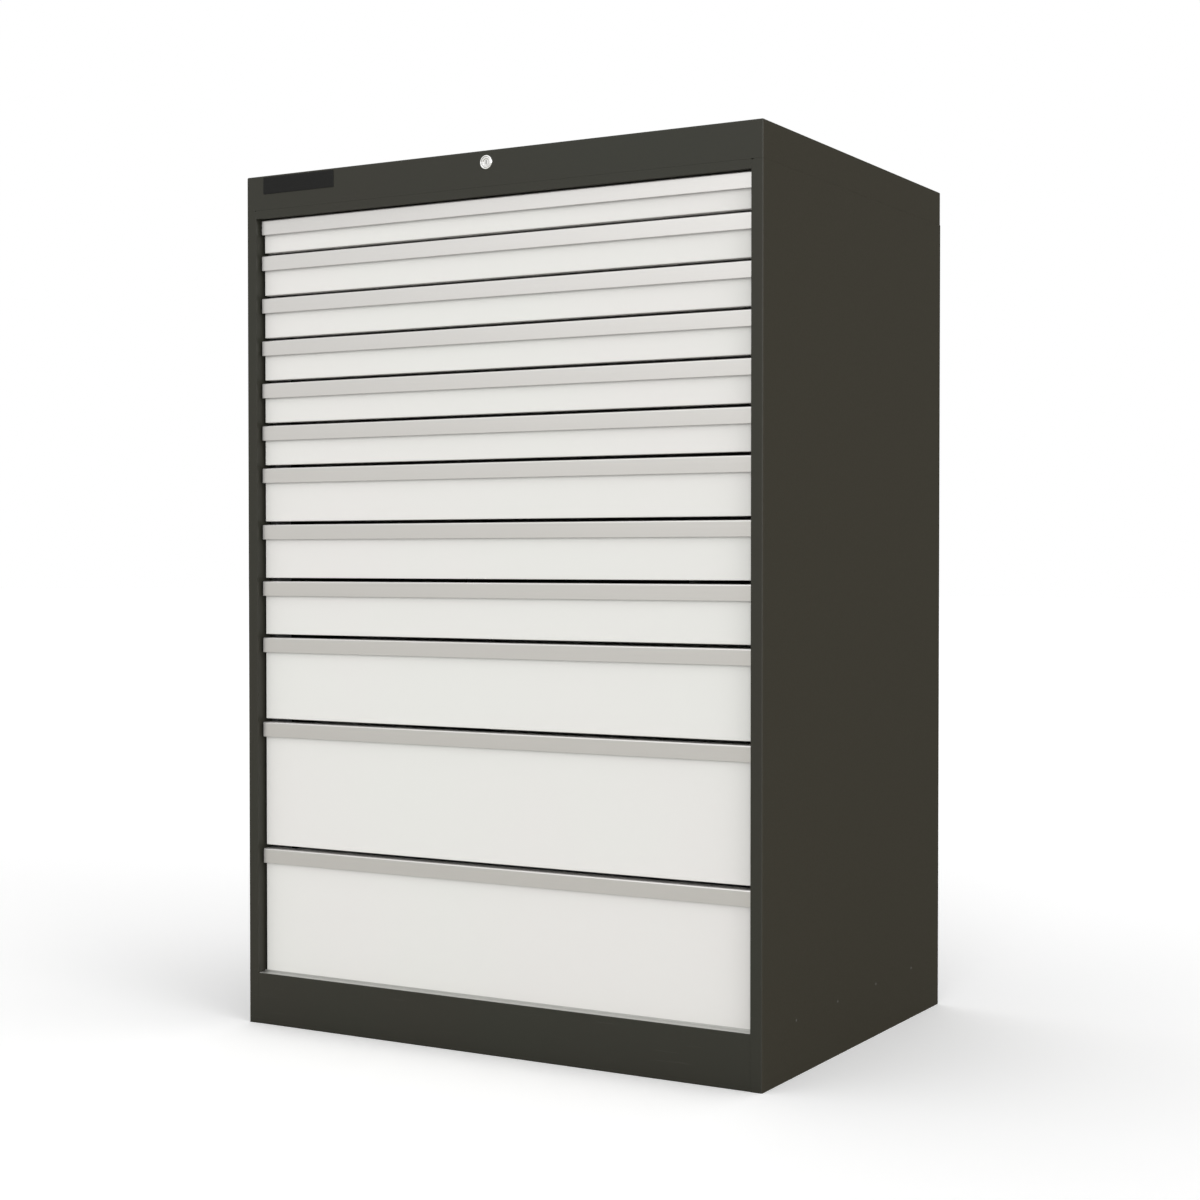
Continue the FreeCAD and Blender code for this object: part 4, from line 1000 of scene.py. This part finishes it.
def lay_floor(scene, s):
    """A pale floor that keeps the cabinet's shadow."""
    half = s.floor_size / 2
    mesh = bpy.data.meshes.new("floor")
    mesh.from_pydata([(x, y, 0) for x, y in rectangle(-half, half, -half, half)], [], [[0, 1, 2, 3]])
    floor = bpy.data.objects.new("floor", mesh)
    scene.collection.objects.link(floor)
    ground = bpy.data.materials.new("pale_floor")
    nodes = Nodes(ground)
    # Shiny pieces mirror a pale floor in front of the cabinet and a dark one beside and behind it.
    _, depth, _ = nodes.parts(nodes.place())
    in_front = depth.below(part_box("top_cap")[0].y - 100 * MM, width=300 * MM)
    pale = dimmed(s.mirror_tint, s.floor_mirrored)
    mirrored = nodes.blend(in_front, dimmed(pale, s.mirror_side), pale)
    shades = (*scene.cabinet_colours.floor, 1), mirrored, (s.floor_shown, s.floor_shown, s.floor_shown, 1)
    shaders = [nodes.add("ShaderNodeBsdfDiffuse", None, shade) for shade in shades]
    nodes.add("ShaderNodeOutputMaterial", None, nodes.by_ray(*shaders))
    mesh.materials.append(ground)
    floor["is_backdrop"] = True


def light_world(scene, s):
    """Soft light from all round, a screen for shiny pieces to mirror, and white for the camera."""
    scene.world = bpy.data.worlds.new("studio")
    nodes = Nodes(scene.world)
    # A direction's parts go from -1 to 1: how far it points behind the cabinet, and how far up.
    _, depth, rise = nodes.parts(nodes.add("ShaderNodeTexCoord", out="Generated"))
    ahead = 0 - depth
    # The soft light is stronger overhead and in front.
    sky = 1 + rise.above(0.6, width=0.8) * s.sky_top + ahead.above(0.5, width=0.7) * s.sky_front
    lit = nodes.add("ShaderNodeBackground", None, (*s.sky_colour, 1), s.sky_strength * sky)
    # The screen stands in front and brightens upwards, with dark beside and behind it.
    screen = s.mirror_low + rise.above(0.17, width=0.3) * ahead.above(0.79, width=0.2) * s.mirror_rise
    screen = screen + rise.above(0.62, width=0.25) * s.mirror_top
    screen = screen * (s.mirror_side + ahead.above(0.2, width=0.6) * (1 - s.mirror_side))
    tint = nodes.blend(rise.above(0.08, width=0.16), s.mirror_tint, (1, 1, 1))
    mirrored = nodes.add("ShaderNodeBackground", None, tint, screen)
    white = nodes.add("ShaderNodeBackground", None, (1, 1, 1, 1), 1.0)
    nodes.add("ShaderNodeOutputWorld", None, nodes.by_ray(lit, mirrored, white))


def hang_lamps(scene, s):
    """Two wide suns, one for the fronts and one for the right side."""
    for name, turn, power in (
        ("front_lamp", s.front_turn, s.front_power),
        ("side_lamp", s.side_turn, s.side_power),
    ):
        lamp = bpy.data.lights.new(name, "SUN")
        lamp.angle, lamp.energy, lamp.specular_factor = s.lamp_width, power, s.lamp_gloss
        held = bpy.data.objects.new(name, lamp)
        held.rotation_euler = (math.pi / 2 - s.lamp_rise, 0, turn)
        scene.collection.objects.link(held)


def stand_camera(scene, s):
    """The camera where the photograph was taken from."""
    camera = bpy.data.cameras.new("camera")
    camera.sensor_width, camera.lens = SENSOR_WIDTH, s.lens
    stand = bpy.data.objects.new("camera", camera)
    stand.location = s.camera_place
    stand.rotation_euler = (math.pi / 2 - s.camera_dip, 0, s.camera_turn)
    scene.collection.objects.link(stand)
    scene.camera = stand


class CABINET_OT_studio(bpy.types.Operator):
    """Set the floor, the world, the lamps and the camera"""

    bl_idname = "cabinet.studio"
    bl_label = "Studio"

    def execute(self, context):
        scene = context.scene
        scene.view_settings.view_transform = "Standard"
        for step in (lay_floor, light_world, hang_lamps, stand_camera):
            step(scene, scene.cabinet_studio)
        return {"FINISHED"}


OPERATORS = (
    CABINET_OT_housing,
    CABINET_OT_runners,
    CABINET_OT_carriages,
    CABINET_OT_trays,
    CABINET_OT_handles,
    CABINET_OT_lock,
    CABINET_OT_plate,
    CABINET_OT_studio,
)


class CABINET_PT_pieces(bpy.types.Panel):
    """Lists the operators in the order in which they run"""

    bl_label = "Drawer cabinet"
    bl_space_type = "VIEW_3D"
    bl_region_type = "UI"
    bl_category = "Cabinet"

    def draw(self, context):
        for operator in OPERATORS:
            self.layout.operator(operator.bl_idname)


GROUPS = {
    "cabinet_sizes": CabinetSizes,
    "cabinet_colours": CabinetColours,
    "cabinet_studio": StudioSettings,
}
CLASSES = (*GROUPS.values(), *OPERATORS, CABINET_PT_pieces)


def register():
    for member in CLASSES:
        bpy.utils.register_class(member)
    for name, group in GROUPS.items():
        setattr(bpy.types.Scene, name, bpy.props.PointerProperty(type=group))


def unregister():
    for name in GROUPS:
        delattr(bpy.types.Scene, name)
    for member in reversed(CLASSES):
        bpy.utils.unregister_class(member)


def main():
    """Makes every piece in order and works out the CAD model's box and the visible model's box."""
    register()
    for operator in OPERATORS:
        getattr(bpy.ops.cabinet, operator.bl_idname.split(".")[1])()
    boxes = {"cad": CAD_BOX, "visual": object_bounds()}
    boxes = {name: [list(corner) for corner in box] for name, box in boxes.items()}


if __name__ == "__main__":
    main()
